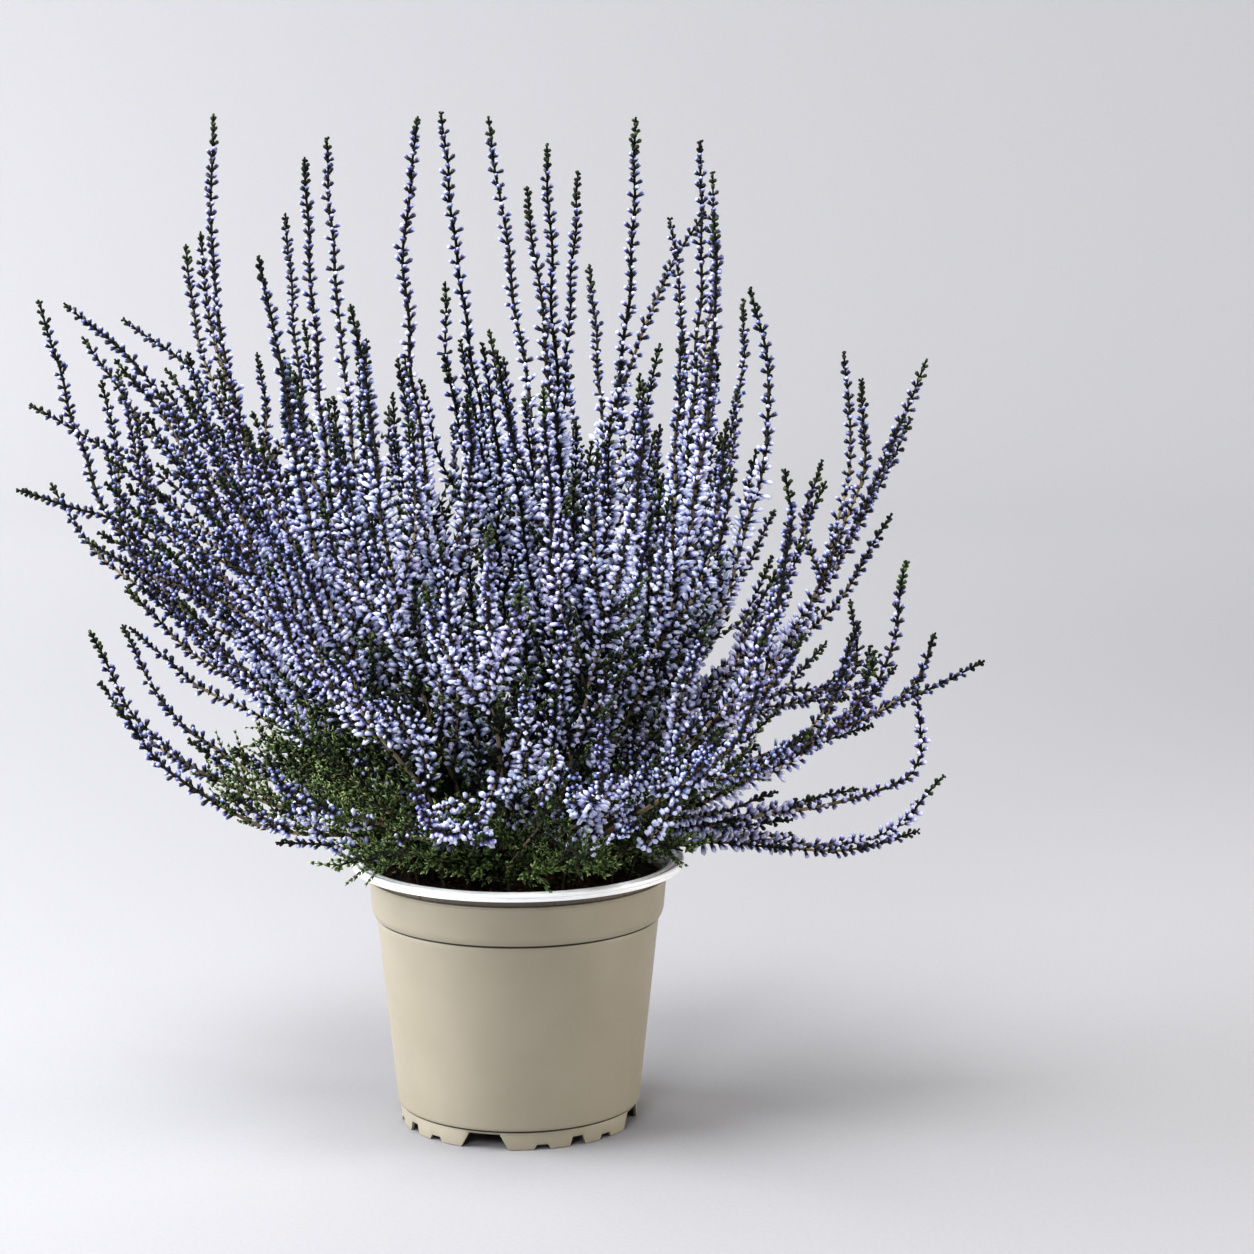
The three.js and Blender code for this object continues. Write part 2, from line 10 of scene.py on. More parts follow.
import bmesh
import bpy
import numpy as np
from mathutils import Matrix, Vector


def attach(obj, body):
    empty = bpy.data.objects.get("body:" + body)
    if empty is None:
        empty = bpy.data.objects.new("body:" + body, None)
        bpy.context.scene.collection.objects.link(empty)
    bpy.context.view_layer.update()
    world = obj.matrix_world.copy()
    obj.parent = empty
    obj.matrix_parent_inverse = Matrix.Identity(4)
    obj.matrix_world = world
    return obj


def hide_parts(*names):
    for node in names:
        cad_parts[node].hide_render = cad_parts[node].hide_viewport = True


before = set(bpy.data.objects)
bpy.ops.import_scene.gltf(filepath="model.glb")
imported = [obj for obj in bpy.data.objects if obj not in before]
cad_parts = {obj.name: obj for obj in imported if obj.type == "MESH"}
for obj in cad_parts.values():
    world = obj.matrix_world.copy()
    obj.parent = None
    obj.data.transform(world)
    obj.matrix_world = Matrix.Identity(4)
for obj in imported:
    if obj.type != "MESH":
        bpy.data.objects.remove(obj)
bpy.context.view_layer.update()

MM = 0.001  # metres in a millimetre

# ---- The pot and the peat ----------------------------------------------------------------------

POT_HEIGHT = 121
RIM_RADIUS = 75
RIM_UNDERSIDE = 117.2
RIM_INNER = 68.4  # where the lip meets the inside wall
COLLAR_RADIUS = 67.1
COLLAR_TOP = 112.5
COLLAR_FOOT = 96
COLLAR_TAPER = 1.5
BODY_FOOT_RADIUS = 54.9
BODY_TOP_RADIUS = 63.4
BODY_TOP = 91.5
FOOT_LINE = 9.2
FOOT_RADIUS = 53.5
WALL = 1.4
FLOOR = FOOT_LINE + 1

QUADRANTS = 4
NOTCH_START = -105
NOTCHES = [
    # turn in degrees, width at the foot and at the top, height
    (0, 22, 14, 7),
    (28, 7.4, 5, 2.2),
    (46, 8, 5, 4.2),
    (63, 7.4, 5, 2.2),
]
DRAIN_RADIUS = 5
DRAIN_RING = 36

SOIL_EDGE = 111
SOIL_TOP = 115
SOIL_LUMP = 1.4

# ---- How the stems grow ------------------------------------------------------------------------

ROOT_RISE = 13
ROOT_SPREAD = 0.22
ROOT_RING = 47
ROOT_LEAN = 4

STEM_RADIUS = 1.5
TWIG_RADIUS = 1.0
STEM_STEP = 48
TIP_LENGTH = 15

# How far the tips of a pair stand out of the stem, and the pitch from one pair to the next.
BUDS = (5.2, 11)
LEAVES = (5.5, 12)
PLUME = (7, 8)

BLOOM_SHARE = 0.58
SIDE_BLOOM_SHARE = 0.82
LEAFY_FROM = 44
SHOOT_LEAFY_FROM = 20
ROUTE_STEPS = 48
CLEARANCE = 1.5
SAMPLE_STEP = 6

SHOOTS = 14
SHOOT_ROOT = 54
SHOOT_REACH = (76, 122)
SHOOT_HEIGHT = (134, 196)
SHOOT_TURN = 0.5
SHOOT_BEND = 0.3
SHOOT_ARCH = 5
SHOOT_TRIES = 300

SIDE_LIMIT = 70
SIDE_ROUNDS = 3
SIDE_TRIES = 30
SIDE_FORK = (0.14, 0.46)
SIDE_RISE = (0.26, 0.44)
SIDE_SPREAD = (14, 30)
SIDE_BULGE = 0.8
FORK_FREE = 34

# Each stem: the points that it runs through, and its side spikes as (fork, points).
STEMS = [
    # the left fan
    ([(-132, -18, 240), (-166, -25, 272), (-215, -30, 290)], []),
    ([(-138, 21, 211), (-184, 29, 268), (-216, 35, 369)], []),
    ([(-140, 4, 278), (-180, 5, 304), (-216, 6, 324)], []),
    ([(-114, -42, 261), (-152, -59, 339), (-186, -70, 373)],
     [(0.6, [(-160, -42, 322), (-183, -43, 357)])]),
    ([(-121, 66, 275), (-152, 92, 329), (-190, 110, 356)], []),
    ([(-102, -69, 248), (-133, -97, 302), (-146, -115, 331)], []),
    ([(-104, 9, 254), (-133, 13, 370), (-133, 15, 451)],
     [(0.55, [(-143, 28, 350), (-149, 35, 394)]), (0.6, [(-134, -6, 365), (-136, -12, 401)])]),
    ([(-78, -54, 245), (-97, -76, 358), (-102, -90, 393)], []),
    ([(-89, 60, 247), (-106, 84, 357), (-111, 100, 406)], []),
    ([(-75, -15, 257), (-87, -21, 374), (-89, -25, 433)], []),
    ([(-66, 33, 251), (-82, 46, 364), (-87, 55, 441)], []),
    ([(-47, -72, 239), (-58, -101, 345), (-62, -120, 375)], []),
    # the tall middle
    ([(-32, -36, 260), (-45, -50, 386), (-38, -60, 450)], []),
    ([(-8, 12, 254), (-25, 17, 379), (-33, 20, 452)],
     [(0.5, [(-31, 36, 335), (-33, 42, 377)]), (0.42, [(-8, -8, 310), (-14, -16, 353)])]),
    ([(9, 51, 267), (-4, 71, 376), (-15, 85, 451)], []),
    ([(20, -18, 258), (17, -25, 372), (15, -30, 438)],
     [(0.55, [(12, -45, 375), (7, -52, 421)]), (0.6, [(25, -8, 380), (28, -6, 427)])]),
    ([(36, 81, 264), (35, 113, 341), (31, 135, 381)], []),
    ([(33, -9, 257), (50, -13, 371), (53, -15, 450)], [(0.62, [(67, 4, 382), (84, 12, 409)])]),
    ([(70, 54, 267), (75, 76, 358), (69, 90, 404)], []),
    ([(68, 21, 253), (82, 29, 369), (82, 35, 440)], [(0.55, [(88, 46, 370), (88, 54, 426)])]),
    ([(69, -48, 244), (86, -67, 362), (85, -80, 411)], []),
    ([(90, 75, 264), (103, 105, 323), (105, 125, 365)], []),
    ([(88, -21, 232), (111, -29, 329), (102, -35, 378)], []),
    ([(100, -63, 212), (117, -88, 276), (114, -105, 307)], []),
    # the right side, with two stems that hook up at their ends
    ([(109, 0, 201), (157, 0, 285), (181, 0, 344)],
     [(0.58, [(149, 14, 298), (146, 20, 347)]), (0.6, [(153, -14, 300), (151, -20, 337)])]),
    ([(117, -30, 168), (157, -42, 204), (169, -50, 262)], []),
    ([(124, 36, 165), (165, 50, 177), (216, 60, 200)], []),
    ([(127, -9, 144), (176, -13, 162), (178, -15, 203)], []),
    ([(105, 8, 126), (163, 10, 127), (193, 12, 155)], []),
    ([(111, 45, 184), (155, 63, 192), (154, 75, 227)], []),
    # low on the left
    ([(-118, -32, 156), (-160, -44, 187), (-182, -52, 232)], []),
    ([(-110, -54, 147), (-145, -76, 175), (-166, -90, 207)], []),
    ([(-129, 33, 156), (-165, 46, 182), (-185, 55, 218)], []),
    # leaning out at the front
    ([(-62, -62, 150), (-88, -100, 166), (-98, -128, 192)], []),
    ([(-16, -78, 148), (-30, -120, 160), (-38, -154, 188)], []),
    ([(26, -70, 150), (38, -118, 176), (40, -150, 215)], []),
    ([(-8, -82, 210), (-6, -138, 262), (-4, -181, 292)], []),
    ([(72, -78, 168), (96, -122, 200), (104, -152, 246)], []),
    ([(-58, -82, 196), (-84, -134, 236), (-92, -166, 276)], []),
    ([(40, -70, 238), (54, -108, 300), (56, -128, 344)], []),
    # leaning out at the back
    ([(-70, 88, 186), (-104, 138, 222), (-118, 162, 268)], []),
    ([(-24, 92, 210), (-34, 150, 262), (-38, 182, 300)], []),
    ([(30, 96, 170), (46, 150, 204), (52, 182, 254)], []),
    ([(82, 92, 178), (118, 132, 214), (130, 148, 262)], []),
]

SEED = 1973
SEED_FACTOR = 48271
SEED_MODULUS = 2147483647
draw = SEED


def chance():
    """The next number from 0 to 1 of a fixed sequence."""
    global draw
    draw = draw * SEED_FACTOR % SEED_MODULUS
    return draw / SEED_MODULUS


def between(span):
    low, high = span
    return low + (high - low) * chance()


def nearest_whole(value):
    return math.floor(value + 0.5)


def unit(vectors):
    return vectors / np.linalg.norm(vectors, axis=-1, keepdims=True)


def circle(radius, angles, z):
    """Points at angles about the upright through the origin."""
    return np.column_stack(np.broadcast_arrays(radius * np.cos(angles), radius * np.sin(angles), z))


class Route:
    """A smooth line through points, with the length up to each of its closely set points."""

    def __init__(self, points):
        points = np.array(points, float)
        before = points[0] - points[1] + points[0]
        after = points[-1] - points[-2] + points[-1]
        knots = np.vstack([before, points, after])
        last = len(points) - 1
        line = []
        for step in range(ROUTE_STEPS + 1):
            place = last * (step / ROUTE_STEPS)
            k = min(int(place), last - 1)
            line.append(curve_point(knots[k : k + 4], place - k))
        self.line = np.array(line)
        steps = np.diff(self.line, axis=0)
        self.forward = unit(steps)
        self.lengths = np.concatenate([[0], np.cumsum(np.linalg.norm(steps, axis=1))])
        self.length = self.lengths[-1]
        self.side, self.up = self.carried_directions()

    def carried_directions(self):
        """Two crossed directions at each step, carried along the line without a twist."""
        side = np.array([-self.forward[0][1], self.forward[0][0], 0])
        sides = []
        for forward in self.forward:
            side = unit(side - side.dot(forward) * forward)
            sides.append(side)
        sides = np.array(sides)
        return sides, np.cross(self.forward, sides)

    def step_at(self, lengths):
        return np.clip(np.searchsorted(self.lengths, lengths), 1, ROUTE_STEPS)

    def at(self, lengths):
        """The points at some lengths from the start."""
        i = self.step_at(lengths)
        share = (lengths - self.lengths[i - 1]) / (self.lengths[i] - self.lengths[i - 1])
        return self.line[i - 1] + (self.line[i] - self.line[i - 1]) * share[..., None]

    def directions(self, lengths):
        """Forward, side and up at some lengths from the start."""
        i = self.step_at(lengths) - 1
        return self.forward[i], self.side[i], self.up[i]


def curve_point(knots, t):
    """A point on the centripetal Catmull-Rom curve from the second of four knots to the third."""
    p0, p1, p2, p3 = knots
    d0, d1, d2 = [float(((b - a) ** 2).sum()) ** 0.25 for a, b in ((p0, p1), (p1, p2), (p2, p3))]
    leave = ((p1 - p0) / d0 - (p2 - p0) / (d0 + d1) + (p2 - p1) / d1) * d1
    reach = ((p2 - p1) / d1 - (p3 - p1) / (d1 + d2) + (p3 - p2) / d2) * d1
    square = -3 * p1 + 3 * p2 - 2 * leave - reach
    cube = 2 * p1 - 2 * p2 + leave + reach
    return p1 + leave * t + square * (t * t) + cube * (t * t * t)


def stem_route(line):
    """A stem's route from the peat: straight up, over the rim and on through its points."""
    out = np.array([line[-1][0], line[-1][1], 0], float)
    reach = np.linalg.norm(out)
    root = out / reach * min(reach * ROOT_SPREAD, ROOT_RING)
    lean = root + out / reach * ROOT_LEAN
    root[2] = SOIL_TOP + 1
    lean[2] = SOIL_TOP + ROOT_RISE
    return Route([root, lean, *line])


class Spike:
    """One stem or side spike: its route, and the zones of its length that carry pairs."""

    def __init__(self, way, stem, zones, thick, rooted=False, free=0):
        self.way = way
        self.stem = stem
        self.zones = zones  # (from, to, kind)
        self.thick = thick
        self.rooted = rooted
        self.free = free

    def ring_lengths(self):
        """Where the solid has its rings: its ends on the bare stem, then its pairs."""
        bare_end = self.zones[0][0]
        bend = ROOT_RISE if self.rooted else 0
        steps = max(1, nearest_whole((bare_end - bend) / STEM_STEP))
        lengths = [bend + (bare_end - bend) * k / steps for k in range(steps)]
        if self.rooted:
            lengths.insert(0, 0)
        for start, stop, (_, pitch) in self.zones:
            pairs = max(2, nearest_whole((stop - start) / pitch))
            lengths += [start + (stop - start) * k / pairs for k in range(pairs)]
        return np.array(lengths)

    def fork_near(self, share):
        """The place of a ring nearest to a share of the length, where a side spike leaves."""
        places = self.ring_lengths()[1:]
        return places[np.argmin(np.abs(places - self.way.length * share))]

    def places(self):
        """Points along the spike with the room that each needs, and the stem's number."""
        lengths = np.arange(int(self.way.length // SAMPLE_STEP) + 1) * float(SAMPLE_STEP)
        room = np.full(len(lengths), float(self.thick))
        for start, _, (out, pitch) in self.zones:
            room[lengths > start - pitch / 2] = out
        stems = np.full(len(lengths), float(self.stem))
        return np.column_stack([self.way.at(lengths), room, stems])


taken = np.empty((0, 5))  # what stands so far


def stand(spikes):
    global taken
    taken = np.vstack([taken, *[spike.places() for spike in spikes]])


def taken_near(places, reach):
    """What stands within a reach of the box round some places."""
    low = places[:, :3].min(0) - reach
    high = places[:, :3].max(0) + reach
    return taken[((taken[:, :3] > low) & (taken[:, :3] < high)).all(1)]


def off_rim(places):
    """Whether each place keeps off the pot's rim."""
    room = places[:, 3]
    distance = np.hypot(places[:, 0], places[:, 1])
    outside = distance > RIM_RADIUS + room + CLEARANCE
    inside = distance < COLLAR_RADIUS - WALL - room - CLEARANCE
    return outside | inside | (places[:, 2] > POT_HEIGHT + room + CLEARANCE)


def fits(spike):
    """Whether a new spike has room, but for its first stretch beside its own stem."""
    own = spike.places()
    if not off_rim(own).all():
        return False
    near = taken_near(own, 2 * PLUME[0] + CLEARANCE)
    gaps = np.linalg.norm(own[:, None, :3] - near[None, :, :3], axis=2)
    tight = gaps <= own[:, None, 3] + near[None, :, 3] + CLEARANCE
    free = np.linalg.norm(own[:, :3] - spike.way.line[0], axis=1) < spike.free
    tight &= ~(free[:, None] & (near[None, :, 4] == spike.stem))
    return not tight.any()


def budded(way, stem, share, thick, **facts):
    """A spike in flower: buds over the last share of its length, and a bare tip."""
    zones = [(way.length * (1 - share), way.length - TIP_LENGTH, BUDS)]
    return Spike(way, stem, zones, thick, **facts)


def planned_spikes(stem, line, sides):
    main = budded(stem_route(line), stem, BLOOM_SHARE, STEM_RADIUS, rooted=True)
    spikes = [main]
    for share, points in sides:
        start = main.way.at(main.fork_near(share))
        spikes.append(budded(Route([start, *points]), stem, SIDE_BLOOM_SHARE, TWIG_RADIUS))
    return spikes


def drawn_shoot(k):
    """A low leafy shoot that leans out over the rim."""
    turn = (k + between((-SHOOT_TURN, SHOOT_TURN))) * 2 * math.pi / SHOOTS
    bend = turn + between((-SHOOT_BEND, SHOOT_BEND))
    reach = between(SHOOT_REACH)
    height = between(SHOOT_HEIGHT)

    def at(radius, angle, z):
        return (radius * math.cos(angle), radius * math.sin(angle), z)

    way = Route([
        at(SHOOT_ROOT, turn, SOIL_EDGE + 3),
        at(SHOOT_ROOT + ROOT_LEAN, turn, SOIL_TOP + ROOT_RISE),
        at((SHOOT_ROOT + reach) / 2, bend, (SOIL_TOP + ROOT_RISE + height) / 2 + SHOOT_ARCH),
        at(reach, bend, height),
    ])
    zones = [(SHOOT_LEAFY_FROM, way.length, PLUME)]
    return Spike(way, len(STEMS) + k, zones, TWIG_RADIUS, rooted=True)


def plant_shoots():
    shoots = []
    for k in range(SHOOTS):
        for _ in range(SHOOT_TRIES):
            shoot = drawn_shoot(k)
            if fits(shoot):
                shoots.append([shoot])
                stand([shoot])
                break
    return shoots


def leaf_out(main):
    """Leaves on a stem below its buds, down to where the stems crowd together."""
    others = taken[taken[:, 4] != main.stem]
    out, pitch = LEAVES
    bloom_from = main.zones[0][0]
    start = bloom_from
    while start > LEAFY_FROM:
        place = np.append(main.way.at(np.array(start)), out)
        gaps = np.linalg.norm(others[:, :3] - place[:3], axis=1)
        if not off_rim(place[None])[0] or (gaps <= out + others[:, 3] + CLEARANCE).any():
            break
        start -= SAMPLE_STEP
    start += pitch
    if bloom_from - start > 2 * pitch:
        main.zones.insert(0, (start, bloom_from, LEAVES))
        stand([main])


def rising_beside(main, fork, top, turn, spread, free=0):
    """A side spike that leaves its stem at one share of its length and rises to another beside
    it, turned and spread away from it."""
    start, half, end = main.way.at(main.way.length * np.array([fork, (fork + top) / 2, top]))
    offset = np.array([math.cos(turn), math.sin(turn), 0]) * spread
    way = Route([start, half + offset * SIDE_BULGE, end + offset])
    return budded(way, main.stem, SIDE_BLOOM_SHARE, TWIG_RADIUS, free=free)


def drawn_side(main):
    """A side spike where chance puts it."""
    fork = main.fork_near(between(SIDE_FORK)) / main.way.length
    top = fork + between(SIDE_RISE)
    turn = between((0, 2 * math.pi))
    return rising_beside(main, fork, top, turn, between(SIDE_SPREAD), FORK_FREE)


def add_sides(stems):
    """Adds side spikes to the stems by turns, while there is room for them."""
    count = 0
    for _ in range(SIDE_ROUNDS):
        for spikes in stems:
            for _ in range(SIDE_TRIES):
                if count >= SIDE_LIMIT:
                    return
                spike = drawn_side(spikes[0])
                if fits(spike):
                    spikes.append(spike)
                    stand([spike])
                    count += 1
                    break


stems = [planned_spikes(k, line, sides) for k, (line, sides) in enumerate(STEMS)]
for spikes in stems:
    stand(spikes)
shoots = plant_shoots()
for spikes in stems:
    leaf_out(spikes[0])
add_sides(stems)

# ---- Meshes ------------------------------------------------------------------------------------


class Pod:
    """A small closed form along X, from its foot at 0 to its point at 1, for making copies of."""

    def __init__(self, rings, corners):
        points = [(0, 0, 0)]
        for place, radius in rings:
            for k in range(corners):
                angle = 2 * math.pi * k / corners
                points.append((place, radius * math.cos(angle), radius * math.sin(angle)))
        points.append((1, 0, 0))
        self.points = np.array(points, float)
        self.faces = tube_faces(len(rings), corners)


class Sliver:
    """The smallest closed form along X: three corners at the foot and one at the point."""

    def __init__(self):
        self.points = np.array([(0, 1, 0.35), (0, -1, 0.35), (0, 0, -0.7), (1, 0, 0)], float)
        self.faces = np.array([(0, 1, 2), (0, 3, 1), (1, 3, 2), (2, 3, 0)])


def tube_faces(rings, corners):
    """The triangles over rings of corners, with one point before the first and one after the last."""
    k = np.arange(corners)
    after = (k + 1) % corners
    faces = [np.column_stack([np.zeros(corners, int), 1 + after, 1 + k])]
    for ring in range(rings - 1):
        low = 1 + ring * corners
        high = low + corners
        faces.append(np.column_stack([low + k, low + after, high + k]))
        faces.append(np.column_stack([low + after, high + after, high + k]))
    last = 1 + (rings - 1) * corners
    faces.append(np.column_stack([last + k, last + after, np.full(corners, last + corners)]))
    return np.vstack(faces)


class Heap:
    """What a piece is made of, gathered until it becomes one mesh.

    Each corner has a `tip`, from 0 at the foot of its bud or leaf to 1 at the point, and a `tone`,
    drawn for each bud or leaf; on the bark and the pot the tone is painted shade. The materials read both.
    """

    def __init__(self, finishes):
        self.finishes = finishes
        self.points = []
        self.faces = []
        self.finish = []
        self.tip = []
        self.tone = []
        self.count = 0

    def add(self, points, faces, finish, tip, tone):
        self.points.append(points)
        self.faces.append(faces + self.count)
        self.finish.append(np.full(len(faces), self.finishes.index(finish)))
        self.tip.append(np.broadcast_to(tip, len(points)))
        self.tone.append(np.broadcast_to(tone, len(points)))
        self.count += len(points)

    def copies(self, pod, feet, axes, sides, lengths, widths, finish, low, high, tones):
        """Copies of a pod: each from its foot along its axis, with its length and half width.
        Its tip value runs from `low` at the foot to `high` at the point."""
        if len(feet) == 0:
            return
        x, y, z = pod.points.T
        ups = np.cross(axes, sides)
        along = axes[:, None] * (lengths[:, None] * x)[..., None]
        across = sides[:, None] * y[:, None] + ups[:, None] * z[:, None]
        points = feet[:, None] + along + across * widths[:, None, None]
        starts = len(pod.points) * np.arange(len(feet))
        faces = pod.faces[None] + starts[:, None, None]
        tip = low[:, None] + (high - low)[:, None] * x
        tone = np.repeat(tones, len(x))
        self.add(points.reshape(-1, 3), faces.reshape(-1, 3), finish, tip.ravel(), tone)

    def tube(self, line, sides, ups, radii, corners, finish, tip, tone):
        """A tube along a line, pointed at both ends."""
        angles = 2 * math.pi * np.arange(corners) / corners
        across = np.cos(angles)[:, None] * sides[:, None]
        over = np.sin(angles)[:, None] * ups[:, None]
        rings = line[:, None] + (across + over) * radii[:, None, None]
        points = np.vstack([line[:1], rings.reshape(-1, 3), line[-1:]])
        tips = np.concatenate([tip[:1], np.repeat(tip, corners), tip[-1:]])
        self.add(points, tube_faces(len(line), corners), finish, tips, tone)

    def piece(self, name):
        """The heap as a mesh object."""
        points = np.vstack(self.points) * MM
        faces = np.vstack(self.faces)
        mesh = bpy.data.meshes.new(name)
        mesh.vertices.add(len(points))
        mesh.vertices.foreach_set("co", points.ravel().astype(np.float32))
        mesh.loops.add(faces.size)
        mesh.loops.foreach_set("vertex_index", faces.ravel().astype(np.int32))
        mesh.polygons.add(len(faces))
        mesh.polygons.foreach_set("loop_start", (3 * np.arange(len(faces))).astype(np.int32))
        mesh.polygons.foreach_set("material_index", np.concatenate(self.finish).astype(np.int32))
        mesh.polygons.foreach_set("use_smooth", np.ones(len(faces), bool))
        for word, values in (("tip", self.tip), ("tone", self.tone)):
            mark = mesh.attributes.new(word, "FLOAT", "POINT")
            mark.data.foreach_set("value", np.concatenate(values).astype(np.float32))
        for finish in self.finishes:
            mesh.materials.append(finish)
        mesh.update(calc_edges=True)
        piece = bpy.data.objects.new(name, mesh)
        bpy.context.scene.collection.objects.link(piece)
        return piece


def seat(piece, slot, *nodes):
    """Sets a piece in the frame, in the place of its solids."""
    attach(piece, "root")
    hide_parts(*nodes)


# ---- Materials ---------------------------------------------------------------------------------


def linear(code):
    """An sRGB hex colour as linear RGBA."""
    channels = [int(code[k : k + 2], 16) / 255 for k in (1, 3, 5)]
    return [c / 12.92 if c <= 0.04045 else ((c + 0.055) / 1.055) ** 2.4 for c in channels] + [1]


def add(material, kind, settings=None, links=None, stops=None):
    """Adds a node. `links` gives its inputs, each a plain value or a socket to link from."""
    tree = material.node_tree
    node = tree.nodes.new(kind)
    for word, value in (settings or {}).items():
        setattr(node, word, value)
    for word, value in (links or {}).items():
        if isinstance(value, bpy.types.NodeSocket):
            tree.links.new(value, node.inputs[word])
        else:
            node.inputs[word].default_value = value
    if stops:
        ramp = node.color_ramp
        while len(ramp.elements) < len(stops):
            ramp.elements.new(0.5)
        for element, (position, code) in zip(ramp.elements, stops):
            element.position = position
            element.color = linear(code)
    return node


def finish_of(name, settings=None):
    """A new material, and its shader with some of its inputs set."""
    material = bpy.data.materials.new(name)
    material.use_nodes = True
    shader = material.node_tree.nodes["Principled BSDF"]
    for word, value in (settings or {}).items():
        shader.inputs[word].default_value = value
    return material, shader


def per_metre(size):
    """A texture's scale for features of a size in millimetres."""
    return 1 / (size * MM)


def set_shader(material, shader, colour, roughness, height, depth):
    """Links a colour and a roughness, and raises a height map as relief of a depth in mm."""
    bump = add(material, "ShaderNodeBump", links={
        "Strength": 1.0, "Distance": depth * MM, "Height": height})
    tree = material.node_tree
    tree.links.new(colour, shader.inputs["Base Color"])
    tree.links.new(roughness, shader.inputs["Roughness"])
    tree.links.new(bump.outputs["Normal"], shader.inputs["Normal"])


def set_grained(material, shader, colour, grain, shades, glosses, depth):
    """Links a colour that a grain makes darker and lighter, from one shade to another. The gloss
    and the relief follow the same grain, whose noise is given by its inputs."""
    spot = add(material, "ShaderNodeTexCoord").outputs["Object"]
    noise = add(material, "ShaderNodeTexNoise", links={"Vector": spot, **grain}).outputs["Fac"]
    shade = add(material, "ShaderNodeMapRange", links={
        "Value": noise, "From Min": 0.3, "From Max": 0.7, "To Min": shades[0], "To Max": shades[1]})
    tint = add(material, "ShaderNodeHueSaturation", links={
        "Color": colour, "Value": shade.outputs["Result"]})
    gloss = add(material, "ShaderNodeMapRange", links={
        "Value": noise, "To Min": glosses[0], "To Max": glosses[1]})
    set_shader(material, shader, tint.outputs["Color"], gloss.outputs["Result"], noise, depth)


def tip_and_tone(material):
    """The two marks that each corner of a stem, bud or leaf carries."""
    marks = [add(material, "ShaderNodeAttribute", {"attribute_name": word}) for word in ("tip", "tone")]
    return [mark.outputs["Fac"] for mark in marks]


GROOVE_SHADE = "#4b4338"  # a dark peat brown, painted as shade in the pot's grooves, under its rim and under its floor


def moulded_polypropylene(name, colour, deep_colour, roughness):
    """Injection-moulded polypropylene: an even satin skin with a faint orange peel, slightly
    cloudy where the colour flowed, scuffed in places to a softer gloss, and with painted shade
    in its grooves and recesses."""
    material, shader = finish_of(name, {"IOR": 1.49})
    spot = add(material, "ShaderNodeTexCoord").outputs["Object"]
    cloud = add(material, "ShaderNodeTexNoise", links={
        "Vector": spot, "Scale": per_metre(38), "Detail": 4})
    peel = add(material, "ShaderNodeTexNoise", links={
        "Vector": spot, "Scale": per_metre(0.9), "Detail": 2})
    scuff = add(material, "ShaderNodeTexNoise", links={
        "Vector": spot, "Scale": per_metre(6), "Detail": 6, "Roughness": 0.7})
    flow = add(material, "ShaderNodeValToRGB", links={"Fac": cloud.outputs["Fac"]},
               stops=[(0.3, deep_colour), (0.7, colour)])
    # painted shade: each row's tone darkens the grooves, the band under the rim and the underside
    groove_shade = add(material, "ShaderNodeAttribute", {"attribute_name": "tone"})
    tint = add(material, "ShaderNodeMix", {"data_type": "RGBA"}, {
        "Factor": groove_shade.outputs["Fac"], 6: flow.outputs["Color"], 7: linear(GROOVE_SHADE)})
    gloss = add(material, "ShaderNodeMapRange", links={
        "Value": scuff.outputs["Fac"], "From Min": 0.3, "From Max": 0.8,
        "To Min": roughness, "To Max": roughness + 0.16})
    set_shader(material, shader, tint.outputs[2], gloss.outputs["Result"],
               peel.outputs["Fac"], 0.03)
    return material


def milled_peat():
    """Milled peat with bark fines: dull, near black where it is damp, with red-brown crumbs."""
    material, shader = finish_of("milled_peat", {"IOR": 1.4})
    spot = add(material, "ShaderNodeTexCoord").outputs["Object"]
    grain = add(material, "ShaderNodeTexNoise", links={
        "Vector": spot, "Scale": per_metre(1.6), "Detail": 6, "Roughness": 0.65})
    tone = add(material, "ShaderNodeAttribute", {"attribute_name": "tone"})
    crumb = add(material, "ShaderNodeValToRGB", links={"Fac": tone.outputs["Fac"]}, stops=[
        (0.0, "#1c0f0a"), (0.45, "#38200f"), (0.75, "#6c3c25"), (1.0, "#b06a44")])
    damp_and_shade = add(material, "ShaderNodeValToRGB", links={"Fac": grain.outputs["Fac"]}, stops=[
        (0.35, "#5c5450"), (0.7, "#ffffff")])
    tint = add(material, "ShaderNodeMix", {"data_type": "RGBA", "blend_type": "MULTIPLY"}, {
        "Factor": 0.8, 6: crumb.outputs["Color"], 7: damp_and_shade.outputs["Color"]})
    gloss = add(material, "ShaderNodeMapRange", links={
        "Value": grain.outputs["Fac"], "To Min": 0.75, "To Max": 1.0})
    set_shader(material, shader, tint.outputs[2], gloss.outputs["Result"],
               grain.outputs["Fac"], 0.8)
    return material


